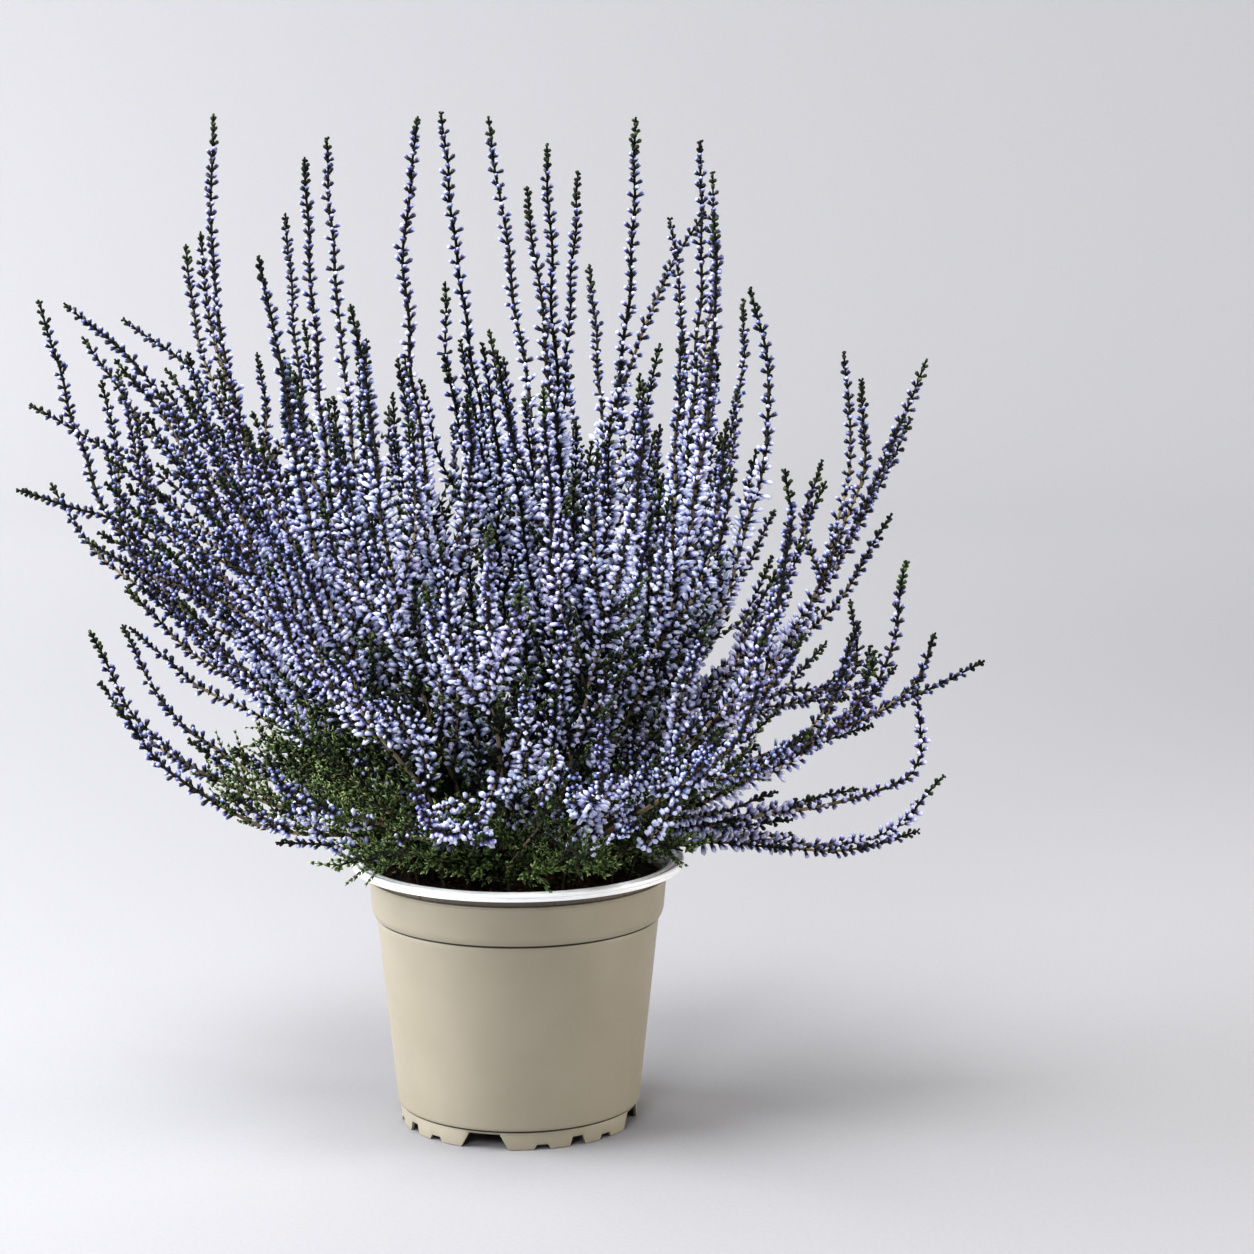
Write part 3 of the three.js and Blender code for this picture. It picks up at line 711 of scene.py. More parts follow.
def heather_bud():
    """Closed heather buds: waxy petals, dark at the calyx, violet blue, with a painted highlight as a
    near-white band below a bluer point.
    """
    material, shader = finish_of("heather_bud_petal", {"IOR": 1.48})
    tip, tone = tip_and_tone(material)
    # the near-white band from 0.6 to 0.78 is a painted highlight on each bud; the point beyond it is bluer
    # again
    blue = add(material, "ShaderNodeValToRGB", links={"Fac": tip}, stops=[
        (0.26, "#0a0d1a"), (0.34, "#1a2142"), (0.42, "#3b4679"), (0.52, "#8391cc"),
        (0.6, "#c8d2f8"), (0.78, "#e6edff"), (1.0, "#9faee6")])
    lilac = add(material, "ShaderNodeValToRGB", links={"Fac": tip}, stops=[
        (0.26, "#0e0c1a"), (0.34, "#211c40"), (0.42, "#4f467c"), (0.52, "#968dc9"),
        (0.6, "#d0cbf6"), (0.78, "#ebe8ff"), (1.0, "#aba3e4")])
    mixed = add(material, "ShaderNodeMix", {"data_type": "RGBA"}, {
        "Factor": tone, 6: blue.outputs["Color"], 7: lilac.outputs["Color"]})
    veins = {"Scale": per_metre(0.7), "Detail": 3}
    set_grained(material, shader, mixed.outputs[2], veins, (0.8, 1.1), (0.24, 0.44), 0.12)
    return material


def heather_leaf():
    """Scale leaves: leathery and dark at the foot, yellow green at the tips that grew last. Their near
    black also serves as painted shade on the inner twigs and the bracts.
    """
    material, shader = finish_of("heather_scale_leaf", {"IOR": 1.42, "Specular IOR Level": 0.25})
    tip, tone = tip_and_tone(material)
    # old leaves, darkening to near black, which also paints shade on the inner twigs and the bracts
    old_and_shaded = add(material, "ShaderNodeValToRGB", links={"Fac": tip}, stops=[
        (0.0, "#040506"), (0.5, "#0b110e"), (1.0, "#203822")])
    young = add(material, "ShaderNodeValToRGB", links={"Fac": tip}, stops=[
        (0.0, "#141f10"), (0.5, "#779054"), (1.0, "#e9f0b6")])
    mixed = add(material, "ShaderNodeMix", {"data_type": "RGBA"}, {
        "Factor": tone, 6: old_and_shaded.outputs["Color"], 7: young.outputs["Color"]})
    spots = {"Scale": per_metre(1.2), "Detail": 3}
    set_grained(material, shader, mixed.outputs[2], spots, (0.75, 1.15), (0.45, 0.7), 0.15)
    return material


def heather_bark():
    """Bark of young woody stems: grey brown and rough, darker and greener towards the tip, with painted
    shade that darkens the stems nearer the middle of the plant.
    """
    material, shader = finish_of("heather_bark", {"IOR": 1.45, "Specular IOR Level": 0.15})
    tip, tone = tip_and_tone(material)
    wood = add(material, "ShaderNodeValToRGB", links={"Fac": tip}, stops=[
        (0.0, "#352b23"), (0.2, "#6a5b4a"), (0.42, "#a5967e"), (0.68, "#454039"), (1.0, "#12151a")])
    # painted shade: the tone is low for stems near the middle of the plant, and darkens their bark
    damp_and_shade = add(material, "ShaderNodeValToRGB", links={"Fac": tone}, stops=[
        (0.3, "#38342f"), (0.75, "#ffffff")])
    weathered = add(material, "ShaderNodeMix", {"data_type": "RGBA", "blend_type": "MULTIPLY"}, {
        "Factor": 1.0, 6: wood.outputs["Color"], 7: damp_and_shade.outputs["Color"]})
    flakes = {"Scale": per_metre(2.2), "Detail": 5, "Roughness": 0.7}
    set_grained(material, shader, weathered.outputs[2], flakes, (0.6, 1.2), (0.7, 0.95), 0.3)
    return material


POT_OUTSIDE = moulded_polypropylene("moulded_polypropylene_taupe", "#9d9685", "#968f7e", 0.4)
POT_INSIDE = moulded_polypropylene("moulded_polypropylene_white", "#fafbfc", "#f3f5f7", 0.25)
PEAT = milled_peat()
PETAL = heather_bud()
LEAF = heather_leaf()
BARK = heather_bark()

# ---- The pot -----------------------------------------------------------------------------------

POT_TURNS = 240  # places round the pot, before those at the corners of the notches
CORNER_GAP = 0.2  # no such place is nearer than this to a corner of a notch
BEAD_RADIUS = 1.15
BEAD_TURNS = (-0.25, 0.45)  # where the bead starts and ends, in half turns from straight outwards
BEAD_STEPS = 8
RIB_PITCH = 3.2  # spacing of the small ribs under the rim
RIB_DEPTH = 0.6
POT_SHARP = 38  # degrees, from which an edge of the pot shows as sharp
WELD_GAP = 0.005
LEAST_EDGE = 0.002
DRAIN_CORNERS = 40


def skirt_edge():
    """Angles round the pot and the height of the skirt's lower edge at each, with its notches."""
    corners = {}
    for quarter in range(QUADRANTS):
        for turn, foot, top, height in NOTCHES:
            middle = math.radians(NOTCH_START + quarter * 360 / QUADRANTS + turn)
            for half, z in ((foot / 2, 0), (top / 2, height)):
                corners[(middle - half / FOOT_RADIUS) % (2 * math.pi)] = z
                corners[(middle + half / FOOT_RADIUS) % (2 * math.pi)] = z
    known = np.array(sorted(corners))
    heights = np.array([corners[angle] for angle in known])
    even = np.arange(POT_TURNS) * 2 * math.pi / POT_TURNS
    gap = np.abs(even[:, None] - known[None]).min(1)
    angles = np.sort(np.concatenate([even[gap > CORNER_GAP / FOOT_RADIUS], known]))
    return angles, np.interp(angles, known, heights, period=2 * math.pi)


def lip_rows():
    """The lip: a short skirt under a rolled bead, and over the top and in."""
    rows = [
        (COLLAR_RADIUS + 0.4, RIM_UNDERSIDE),
        (RIM_RADIUS - 0.9, RIM_UNDERSIDE),
        (RIM_RADIUS - 0.6, RIM_UNDERSIDE + 0.2),
        (RIM_RADIUS - 0.5, RIM_UNDERSIDE + 1.3),
        (RIM_RADIUS - 0.8, RIM_UNDERSIDE + 1.5),
    ]
    start, stop = BEAD_TURNS
    for k in range(BEAD_STEPS + 1):
        turn = math.pi * (start + (stop - start) * k / BEAD_STEPS)
        radius = RIM_RADIUS - BEAD_RADIUS + BEAD_RADIUS * math.cos(turn)
        rows.append((radius, POT_HEIGHT - BEAD_RADIUS + BEAD_RADIUS * math.sin(turn)))
    rows += [(RIM_RADIUS - 2.3, POT_HEIGHT - 0.4), (RIM_RADIUS - 2.9, POT_HEIGHT - 0.45)]
    rows += [(RIM_RADIUS - 3.4, POT_HEIGHT - 0.1), (RIM_RADIUS - 4.6, POT_HEIGHT - 0.1)]
    rows += [(RIM_RADIUS - 5.6, POT_HEIGHT - 0.4), (RIM_INNER, POT_HEIGHT - 1.2)]
    rows += [(RIM_INNER - 1.4, POT_HEIGHT - 3.4), (COLLAR_RADIUS - WALL, COLLAR_TOP)]
    return rows


def pot_rows():
    """The pot's section as rows of (radius, height, share of the notches, ribs, finish, painted shade)."""
    foot_top = FOOT_LINE - 0.9
    shoulder = COLLAR_RADIUS - COLLAR_TAPER
    rows = [
        # the last number of each row is painted shade, in the grooves at the foot and the collar, under
        # the rim and under the floor
        (FOOT_RADIUS - 0.4, 0, 1, 0, 0.3),
        (FOOT_RADIUS, 0.4, 1, 0, 0),
        (FOOT_RADIUS + 0.35, foot_top - 0.35, 0, 0, 0),
        (FOOT_RADIUS + 0.25, foot_top - 0.15, 0, 0, 0.7),
        (FOOT_RADIUS - 0.35, foot_top, 0, 0, 1),
        (FOOT_RADIUS - 0.35, FOOT_LINE - 0.35, 0, 0, 1),
        (BODY_FOOT_RADIUS - 0.25, FOOT_LINE - 0.2, 0, 0, 0.7),
        (BODY_FOOT_RADIUS, FOOT_LINE + 0.1, 0, 0, 0),
        (BODY_FOOT_RADIUS + 0.1, FOOT_LINE + 1.2, 0, 0, 0),
        (BODY_TOP_RADIUS, BODY_TOP, 0, 0, 0),
        (BODY_TOP_RADIUS + 0.3, COLLAR_FOOT - 2, 0, 0, 0),
        (BODY_TOP_RADIUS + 0.2, COLLAR_FOOT - 1.75, 0, 0, 0.7),
        (BODY_TOP_RADIUS - 0.4, COLLAR_FOOT - 1.6, 0, 0, 1),
        (BODY_TOP_RADIUS - 0.4, COLLAR_FOOT - 0.9, 0, 0, 1),
        (shoulder - 0.9, COLLAR_FOOT - 0.75, 0, 0, 0.7),
        (shoulder - 0.7, COLLAR_FOOT - 0.5, 0, 0, 0),
        (shoulder + 0.1, COLLAR_FOOT + 1.6, 0, 0, 0),
        (shoulder + 0.35, COLLAR_FOOT + 3, 0, 0, 0),
        (COLLAR_RADIUS - 0.1, COLLAR_TOP - 0.5, 0, 0, 0),
        (COLLAR_RADIUS + 0.45, COLLAR_TOP, 0, 0, 0),
        (COLLAR_RADIUS + 0.45, COLLAR_TOP + 0.5, 0, 0, 0.1),
        (COLLAR_RADIUS - 0.5, COLLAR_TOP + 0.8, 0, 0, 1),
        (COLLAR_RADIUS - 0.5, COLLAR_TOP + 1.4, 0, 1, 0.7),
        (COLLAR_RADIUS - 0.4, RIM_UNDERSIDE - 0.4, 0, 1, 0.6),
        (COLLAR_RADIUS - 0.3, RIM_UNDERSIDE, 0, 0, 1),
    ]
    rows = [(*row[:4], POT_OUTSIDE, row[4]) for row in rows]
    rows += [(radius, z, 0, 0, POT_INSIDE, 0) for radius, z in lip_rows()]
    rows += [
        (BODY_TOP_RADIUS - WALL, BODY_TOP + 0.5, 0, 0, POT_INSIDE, 0),
        (BODY_FOOT_RADIUS - WALL, FLOOR, 0, 0, POT_INSIDE, 0),
        (0, FLOOR, 0, 0, POT_INSIDE, 0),
        (0, FLOOR - WALL, 0, 0, POT_OUTSIDE, 0.2),
        (FOOT_RADIUS - WALL + 0.3, FLOOR - WALL, 0, 0, POT_OUTSIDE, 0.2),
        (FOOT_RADIUS - WALL, 0.4, 1, 0, POT_OUTSIDE, 0.2),
        (FOOT_RADIUS - WALL + 0.4, 0, 1, 0, POT_OUTSIDE, 0.2),
    ]
    return rows


def pot_piece():
    """The pot: its section turned round, with the ribs, the notches and the drain holes."""
    angles, edge = skirt_edge()
    ribs = np.clip(np.cos(angles * round(2 * math.pi * COLLAR_RADIUS / RIB_PITCH)), 0, 1) * RIB_DEPTH
    rows = pot_rows()
    rings = []
    for radius, z, notched, ribbed, _, _ in rows:
        rings.append(circle(radius + ribs * ribbed, angles, z + edge * notched))
    count = len(angles)
    k = np.arange(count)
    after = (k + 1) % count
    heap = Heap([POT_OUTSIDE, POT_INSIDE])
    points = np.vstack(rings)
    for row in range(len(rows)):
        low = row * count
        high = (row + 1) % len(rows) * count
        faces = np.vstack([
            np.column_stack([low + k, low + after, high + k]),
            np.column_stack([low + after, high + after, high + k]),
        ])
        heap.faces.append(faces)
        heap.finish.append(np.full(len(faces), heap.finishes.index(rows[row][4])))
    heap.points.append(points)
    heap.tip.append(np.zeros(len(points)))
    # the tone carries each row's painted shade
    heap.tone.append(np.repeat([row[5] for row in rows], count))
    piece = heap.piece("nursery_pot")
    weld(piece)
    for quarter in range(QUADRANTS):
        drill(piece, math.radians(NOTCH_START + quarter * 360 / QUADRANTS))
    piece.data.set_sharp_from_angle(angle=math.radians(POT_SHARP))
    return piece


def weld(piece):
    """Joins the corners that lie on each other, as at the middle of the floor."""
    form = bmesh.new()
    form.from_mesh(piece.data)
    bmesh.ops.remove_doubles(form, verts=form.verts, dist=WELD_GAP * MM)
    bmesh.ops.dissolve_degenerate(form, edges=form.edges, dist=LEAST_EDGE * MM)
    bmesh.ops.recalc_face_normals(form, faces=form.faces)
    form.to_mesh(piece.data)
    form.free()


def drill(piece, angle):
    """Cuts a drain hole through the floor."""
    middle = np.array([DRAIN_RING * math.cos(angle), DRAIN_RING * math.sin(angle), FOOT_LINE])
    bpy.ops.mesh.primitive_cylinder_add(
        vertices=DRAIN_CORNERS, radius=DRAIN_RADIUS * MM, depth=4 * WALL * MM, location=middle * MM)
    cutter = bpy.context.object
    cut = piece.modifiers.new("drain", "BOOLEAN")
    cut.object = cutter
    cut.solver = "EXACT"
    with bpy.context.temp_override(object=piece, active_object=piece):
        bpy.ops.object.modifier_apply(modifier=cut.name)
    bpy.data.objects.remove(cutter)


# ---- The peat ----------------------------------------------------------------------------------

PEAT_TURNS = 120
PEAT_ROWS = 36
PEAT_GAP = 0.15  # clear of the pot's wall, and more at the top
PEAT_TOP_GAP = 0.3
RIPPLES = 14
RIPPLE_SIZES = (2.5, 9)
RIPPLE_HEIGHT = 0.5
SWELL_PLACES = (0, 0.38, 0.72, 1)  # shares of the way out to the wall, and the heights there
SWELL_HEIGHTS = (SOIL_TOP, SOIL_TOP, SOIL_TOP - 1.5, SOIL_EDGE + 0.6)
CRUMBS = 1700
CRUMB_SIZES = (0.5, 1.9)
CRUMB_LENGTHS = (1.6, 3.4)  # in widths
CRUMB_TONES = (0.1, 1)
PEAT_TONES = (0, 0.6)


def ripples(x, y, sizes, lots):
    """A sum of waves of some lengths in random directions, from about -1 to 1."""
    total = np.zeros_like(x)
    for size in sizes:
        turn, phase = lots.uniform(0, 2 * math.pi, 2)
        total += np.sin((x * math.cos(turn) + y * math.sin(turn)) * 2 * math.pi / size + phase)
    return total / len(sizes)


def peat_height(x, y):
    """The top of the peat: low lumps, and coarse crumb over them."""
    edge = COLLAR_RADIUS - WALL
    reach = np.hypot(x, y) / edge
    swell = np.interp(reach, SWELL_PLACES, SWELL_HEIGHTS)
    lump = SOIL_LUMP * np.sin(x * 0.21 + 1) * np.cos(y * 0.17) * np.clip((1 - reach) * 8, 0, 1)
    lots = np.random.default_rng(SEED)
    crumb = RIPPLE_HEIGHT * ripples(x, y, lots.uniform(*RIPPLE_SIZES, RIPPLES), lots)
    return swell + lump + crumb


def on_peat(radius, angles):
    """Points on the top of the peat."""
    points = circle(radius, angles, 0.0)
    points[:, 2] = peat_height(points[:, 0], points[:, 1])
    return points


def peat_piece():
    """The peat that fills the pot, with loose crumbs on it."""
    angles = np.arange(PEAT_TURNS) * 2 * math.pi / PEAT_TURNS
    top_radius = COLLAR_RADIUS - WALL - PEAT_GAP - PEAT_TOP_GAP
    body_radius = BODY_TOP_RADIUS - WALL - PEAT_GAP
    rings = [
        circle(BODY_FOOT_RADIUS - WALL - PEAT_GAP, angles, FLOOR + PEAT_GAP),
        circle(body_radius, angles, BODY_TOP),
    ]
    for row in range(PEAT_ROWS):
        rings.append(on_peat(top_radius * (1 - row / PEAT_ROWS), angles))
    points = np.vstack([[(0, 0, FLOOR + PEAT_GAP)], *rings, [(0, 0, SOIL_TOP)]])
    lots = np.random.default_rng(SEED + 1)
    heap = Heap([PEAT])
    heap.add(points, tube_faces(len(rings), PEAT_TURNS), PEAT, 0.5, lots.uniform(*PEAT_TONES, len(points)))
    radius = top_radius * np.sqrt(lots.uniform(0, 0.98, CRUMBS))
    turn = lots.uniform(0, 2 * math.pi, CRUMBS)
    axes = unit(lots.normal(size=(CRUMBS, 3)) * (1, 1, 0.5))
    sides = unit(np.cross(axes, lots.normal(size=(CRUMBS, 3))))
    low, high = CRUMB_SIZES
    widths = low + (high - low) * lots.uniform(0, 1, CRUMBS) ** 3
    lengths = widths * lots.uniform(*CRUMB_LENGTHS, CRUMBS)
    feet = on_peat(radius, turn) - axes * lengths[:, None] / 2
    heap.copies(CRUMB, feet, axes, sides, lengths, widths / 2, PEAT, np.zeros(CRUMBS),
                np.ones(CRUMBS), lots.uniform(*CRUMB_TONES, CRUMBS))
    return heap.piece("peat_bed")


# ---- Filling in --------------------------------------------------------------------------------

FILLERS = 280  # slender side spikes in the gaps among the stems
FILL_ROUNDS = 12
FILL_TRIES = 14
FILL_WAYS = ((0.06, 0.52), (0.2, 0.42))  # shares of the stem: where they leave it, and their rise
FILL_END = 0.9  # the share of the stem that they reach at most
FILL_SPREAD = (7, 30)
FILL_GAP = 7.0  # least distance between the middles of two spikes
FILL_FREE = 22  # length of a filling spike that may touch its own stem
FILL_LEAST = 36  # the shortest filling spike
FILL_TOP = 356  # the height that their tips stay under
FILL_LOW = 200  # tips lower than this stay within the reach below
FILL_LOW_REACH = 132
OUTER_STEMS = (0, 1, 2, 3, 4, 5, 6, 24, 25, 27, 29)  # stems that lean far out to a side
OUTER_FILLERS = 26  # and the side spikes on their outer ends, with their ways
OUTER_WAYS = ((0.4, 0.7), (0.15, 0.28))


def drawn_filler(main, lots, ways):
    """A slender side spike where chance puts it."""
    forks, rises = ways
    fork = lots.uniform(*forks)
    top = min(fork + lots.uniform(*rises), FILL_END)
    turn = lots.uniform(0, 2 * math.pi)
    return rising_beside(main, fork, top, turn, lots.uniform(*FILL_SPREAD))


def keeps_gap(spike, free, gap):
    """Whether a spike keeps a gap to all that stands, but for its first stretch."""
    own = spike.places()[:, :3]
    own = own[np.linalg.norm(own - spike.way.line[0], axis=1) > free]
    gaps = np.linalg.norm(own[:, None] - taken_near(own, gap)[None, :, :3], axis=2)
    return not (gaps < gap).any()


def filler_fits(spike):
    """Whether a filling spike lies in a gap, off the rim and under the top of the mass."""
    own = spike.places()
    tip = own[-1]
    too_low = tip[2] < FILL_LOW and math.hypot(tip[0], tip[1]) > FILL_LOW_REACH
    if spike.way.length < FILL_LEAST or tip[2] > FILL_TOP or too_low or not off_rim(own).all():
        return False
    return keeps_gap(spike, FILL_FREE, FILL_GAP)


def fill_in(chosen, most, ways):
    """Gives the chosen stems filling spikes, by turns, where there is a gap for them."""
    lots = np.random.default_rng(SEED)
    count = 0
    for _ in range(FILL_ROUNDS):
        for k in chosen:
            for _ in range(FILL_TRIES):
                spike = drawn_filler(stems[k][0], lots, ways)
                if count < most and filler_fits(spike):
                    fillers[k].append(spike)
                    stand([spike])
                    count += 1
                    break


fillers = [[] for _ in stems]
fill_in(range(len(stems)), FILLERS, FILL_WAYS)
fill_in(OUTER_STEMS, OUTER_FILLERS, OUTER_WAYS)

# Short spikes in full bud that hang out over the rim in front: the points that each runs through.
FRONT_SPIKES = {
    33: [
        [(-82, -62, 143), (-88, -78, 163), (-89, -84, 179)],
        [(-18, -72, 162), (-30, -92, 161), (-45, -104, 156)],
    ],
    34: [
        [(-5, -74, 175), (-11, -100, 161), (-15, -108, 145)],
        [(4, -70, 174), (-2, -90, 168), (-7, -98, 159)],
        [(19, -74, 184), (15, -98, 171), (9, -108, 156)],
    ],
    35: [
        [(33, -66, 136), (35, -84, 158), (34, -90, 177)],
        [(55, -60, 137), (67, -80, 157), (80, -88, 171)],
    ],
}


def front_spikes(k):
    return [budded(Route(line), k, SIDE_BLOOM_SHARE, TWIG_RADIUS) for line in FRONT_SPIKES.get(k, [])]


SPRAY_ROUNDS = 5
SPRAY_TRIES = 20
SPRAY_FORK = (0.01, 0.22)  # shares of the stem where a spray leaves it
SPRAY_TURN = 1.1  # how far a spray turns from straight outwards, to either side
SPRAY_RISE = (0.05, 1.0)  # its rise for each step outwards
SPRAY_LENGTH = (20, 56)
SPRAY_BOW = (-0.06, 0.1)  # the height of its bow, as a share of its length
SPRAY_GAP = 5.5
SPRAY_FREE = 14  # length of a spray that may touch its own stem
SPRAY_LOW = 121  # sprays whose tips would be lower than this aren't there
SPRAY_TWIG = 3  # the room that its bare foot needs
SKIRT_TOP = 142  # height of the leafy skirt at the front and back, and how much more on the left
SKIRT_TOP_SHIFT = 38
SKIRT_LEAST = -0.25  # it gets lower to the right, down to this share of the shift
SKIRT_RADIUS = 112  # its reach at the front and back, and how much more on the left
SKIRT_SHIFT = 22


def in_skirt(points):
    """Whether each point is in the leafy skirt round the foot, which is largest on the left."""
    leftness = -np.cos(np.arctan2(points[:, 1], points[:, 0]))
    under = points[:, 2] < SKIRT_TOP + SKIRT_TOP_SHIFT * np.maximum(leftness, SKIRT_LEAST)
    return under & (np.hypot(points[:, 0], points[:, 1]) < SKIRT_RADIUS + SKIRT_SHIFT * leftness)


def drawn_spray(main, lots):
    """A short leafy shoot from the foot of a stem, leaning outwards."""
    start = main.way.at(np.array(main.way.length * lots.uniform(*SPRAY_FORK)))
    turn = math.atan2(start[1], start[0]) + lots.uniform(-SPRAY_TURN, SPRAY_TURN)
    heading = unit(np.array([math.cos(turn), math.sin(turn), lots.uniform(*SPRAY_RISE)]))
    length = lots.uniform(*SPRAY_LENGTH)
    bow = np.array([0, 0, lots.uniform(*SPRAY_BOW) * length])
    way = Route([start, start + heading * length / 2 + bow, start + heading * length])
    return Spike(way, main.stem, [(SPRAY_TWIG, way.length, PLUME)], SPRAY_TWIG)


def spray_fits(spike):
    """Whether a spray lies in a gap in the skirt, with its twig off the rim."""
    twig = spike.places()
    twig[:, 3] = SPRAY_TWIG
    if twig[-1, 2] < SPRAY_LOW or not in_skirt(twig).all() or not off_rim(twig).all():
        return False
    return keeps_gap(spike, SPRAY_FREE, SPRAY_GAP)


def spray_out(stems):
    """Leafy sprays for each stem, by turns, where there is a gap for them."""
    lots = np.random.default_rng(SEED + 2)
    found = [[] for _ in stems]
    for _ in range(SPRAY_ROUNDS):
        for spikes, sprays in zip(stems, found):
            for _ in range(SPRAY_TRIES):
                spike = drawn_spray(spikes[0], lots)
                if spray_fits(spike):
                    sprays.append(spike)
                    stand([spike])
                    break
    return found


sprays = spray_out(stems)

# ---- Stems, buds and leaves --------------------------------------------------------------------

# A bud widens slowly from its stalk and calyx, and is widest near its point.
BUD = Pod([(0.34, 0.76), (0.78, 1.0)], 5)
FINE_BUD = Pod([(0.34, 0.8), (0.78, 1.05)], 4)
CRUMB = Pod([(0.25, 0.9), (0.75, 1.0)], 4)
SCALE = Sliver()

STEM_CORNERS = 6
STEM_RING_STEP = 6
STEM_FOOT = 8  # how far a stem goes down into the peat
THICK_PLACES = (0, 0.4, 0.75, 1)  # shares of the length, from the foot to the tip
STEM_THICK = (1.35, 0.9, 0.74, 0.48)  # and half the thickness there
SIDE_THICK = (0.75, 0.6, 0.55, 0.42)
STEM_SHADE_RADIUS = 105  # stems this far out or more keep their pale bark, and those nearer the middle get painted shade
WANDER = 0.6  # how far a stem wanders off its route
WANDER_WAVES = (34, 70)  # the lengths of its waves
WANDER_FADE = 25  # at its ends it wanders less


def leaned(forward, side, up, turns, leans):
    """Spokes turned about a stem, and directions that lean from the stem's own towards them."""
    spokes = side * np.cos(turns)[:, None] + up * np.sin(turns)[:, None]
    return spokes, forward * np.cos(leans)[:, None] + spokes * np.sin(leans)[:, None]


class Grown:
    """A spike as it grows here: its route, with the small wander of a real stem."""

    def __init__(self, spike, lots):
        self.way = spike.way
        self.length = spike.way.length
        self.lots = lots
        self.waves = lots.uniform(*WANDER_WAVES, 2)
        self.phases = lots.uniform(0, 2 * math.pi, 2)

    def at(self, lengths):
        """The points at some lengths from the start."""
        _, side, up = self.way.directions(lengths)
        from_foot = np.clip(lengths / WANDER_FADE, 0, 1)
        fade = from_foot * np.clip((self.length - lengths) / WANDER_FADE, 0, 1) * WANDER
        across = np.sin(2 * math.pi * lengths / self.waves[0] + self.phases[0]) * fade
        over = np.sin(2 * math.pi * lengths / self.waves[1] + self.phases[1]) * fade
        return self.way.at(lengths) + side * across[:, None] + up * over[:, None]

    def outward(self, lengths, turns, leans):
        """Spokes, axes and sides for what leaves the stem at some lengths."""
        forward, side, up = self.way.directions(lengths)
        spokes, axes = leaned(forward, side, up, turns, leans)
        return spokes, axes, unit(np.cross(axes, spokes + forward * 0.01))


def grow_stem(heap, spike, grown, thick):
    """The bark of a spike, which goes down into the peat if it is rooted."""
    count = max(4, int(grown.length / STEM_RING_STEP))
    lengths = np.linspace(0, grown.length, count)
    line = grown.at(lengths)
    _, side, up = grown.way.directions(lengths)
    radii = np.interp(lengths / grown.length, THICK_PLACES, thick)
    if spike.rooted:
        foot = line[:1] - (0, 0, STEM_FOOT)
        line = np.vstack([foot, line])
        side = np.vstack([side[:1], side])
        up = np.vstack([up[:1], up])
        radii = np.concatenate([radii[:1], radii])
        lengths = np.concatenate([[0], lengths])
    # painted shade: the nearer a stem is to the middle, the lower its tone and the darker its bark
    outside = np.hypot(line[:, 0], line[:, 1]).mean() / STEM_SHADE_RADIUS
    heap.tube(line, side, up, radii, STEM_CORNERS, BARK, lengths / grown.length, min(outside, 1))


BLOOM_SPREAD = 1.25  # the bloom is this much longer than the solids' buds, where it isn't too low
FRONT_TIPS = -100  # stems whose tips lie in front of this stay bare below, and show their bark
GREEN_END = (6, 16)  # length of the green end of a spike
INSIDE_LOW = 265  # below this height the spikes are in the mass of the plant, and full
INSIDE_HIGH = 350
FREE_RADIUS = 142  # and so are those nearer to the middle than this, fading over a distance
FREE_FADE = 50
RIPE_LENGTH = 45  # buds this far below the tip are ripe inside the mass
FREE_LENGTH = 300  # and those on free spikes would be at this length, but stay at most so ripe
FREE_RIPENESS = 0.34
EARLY_LENGTHS = (14, 90)  # how soon early buds ripen below the tip, and where they have ended
EARLY = {27: 0.5, 28: 0.8}  # stems whose buds are ripe nearly to the tip, and how ripe
EARLY_SIZE = 0.84  # early buds are shorter and wider than others
EARLY_WIDTH = 1.16

# From the tip down: lengths left to the tip, and the pitch, size, half width and lean of the buds
# there. The number after each is what ripeness adds.
PITCHES = ([0, 15, 40], [1.9, 2.8, 3.1])
RIPE_PITCH = 1.2
SIZES = ([0, 5, 20, 50], [1.4, 2.7, 3.7, 3.9])
RIPE_SIZE = 2.4
WIDTHS = ([0, 5, 20], [0.6, 0.9, 1.1])
RIPE_WIDTH = -0.06
LEANS = ([0, 10, 40], [24, 42, 50])
RIPE_LEAN = 12
FOURS_FROM = 0.4  # pairs riper than this may be whorls of four
FOURS_MOST = 0.75
LAST_BUD = 0.6  # the last pair is at least this far below the tip
BUD_OUT = 0.3  # how far the foot of a bud is from the middle of its stem
BUD_SHIFT = (0.4, 0.8)  # how far a bud may be along the stem from its pair, and what ripeness adds

# How chance varies the buds: factors for the pitch, and standard deviations for the rest. Turns
# and leans are in radians.
PITCH_CHANCE = (0.85, 1.15)
DRIFT_CHANCE = 0.06
TURN_CHANCE = 0.3
LEAN_CHANCE = 0.2
SIZE_CHANCE = 0.12
WIDTH_CHANCE = 0.08
FOOT_CHANCE = 0.04
POINT_CHANCE = 0.05

BUD_TONE = (0.3, 0.2)  # how lilac the buds of a spike are: the mean, and how far it varies
FOOT_TIP = (-0.12, 0.3)  # where in its colours a bud starts, and what ripeness adds
POINT_TIP = (0.55, 0.43)  # and where it ends
GREEN_TONE = 0.5  # the tone of the green end of a spike, as a share of its buds'
BRACT_SHARE = 0.56  # length of a bract, as a share of its bud
BRACT_MOST = 2.6
BRACT_WIDTH = 0.54
BRACT_LEAN = 0.8
BRACT_TIP = 0.45
# the bracts are near black: their own dark green, and painted shade between the buds
BRACT_TONE = 0.12


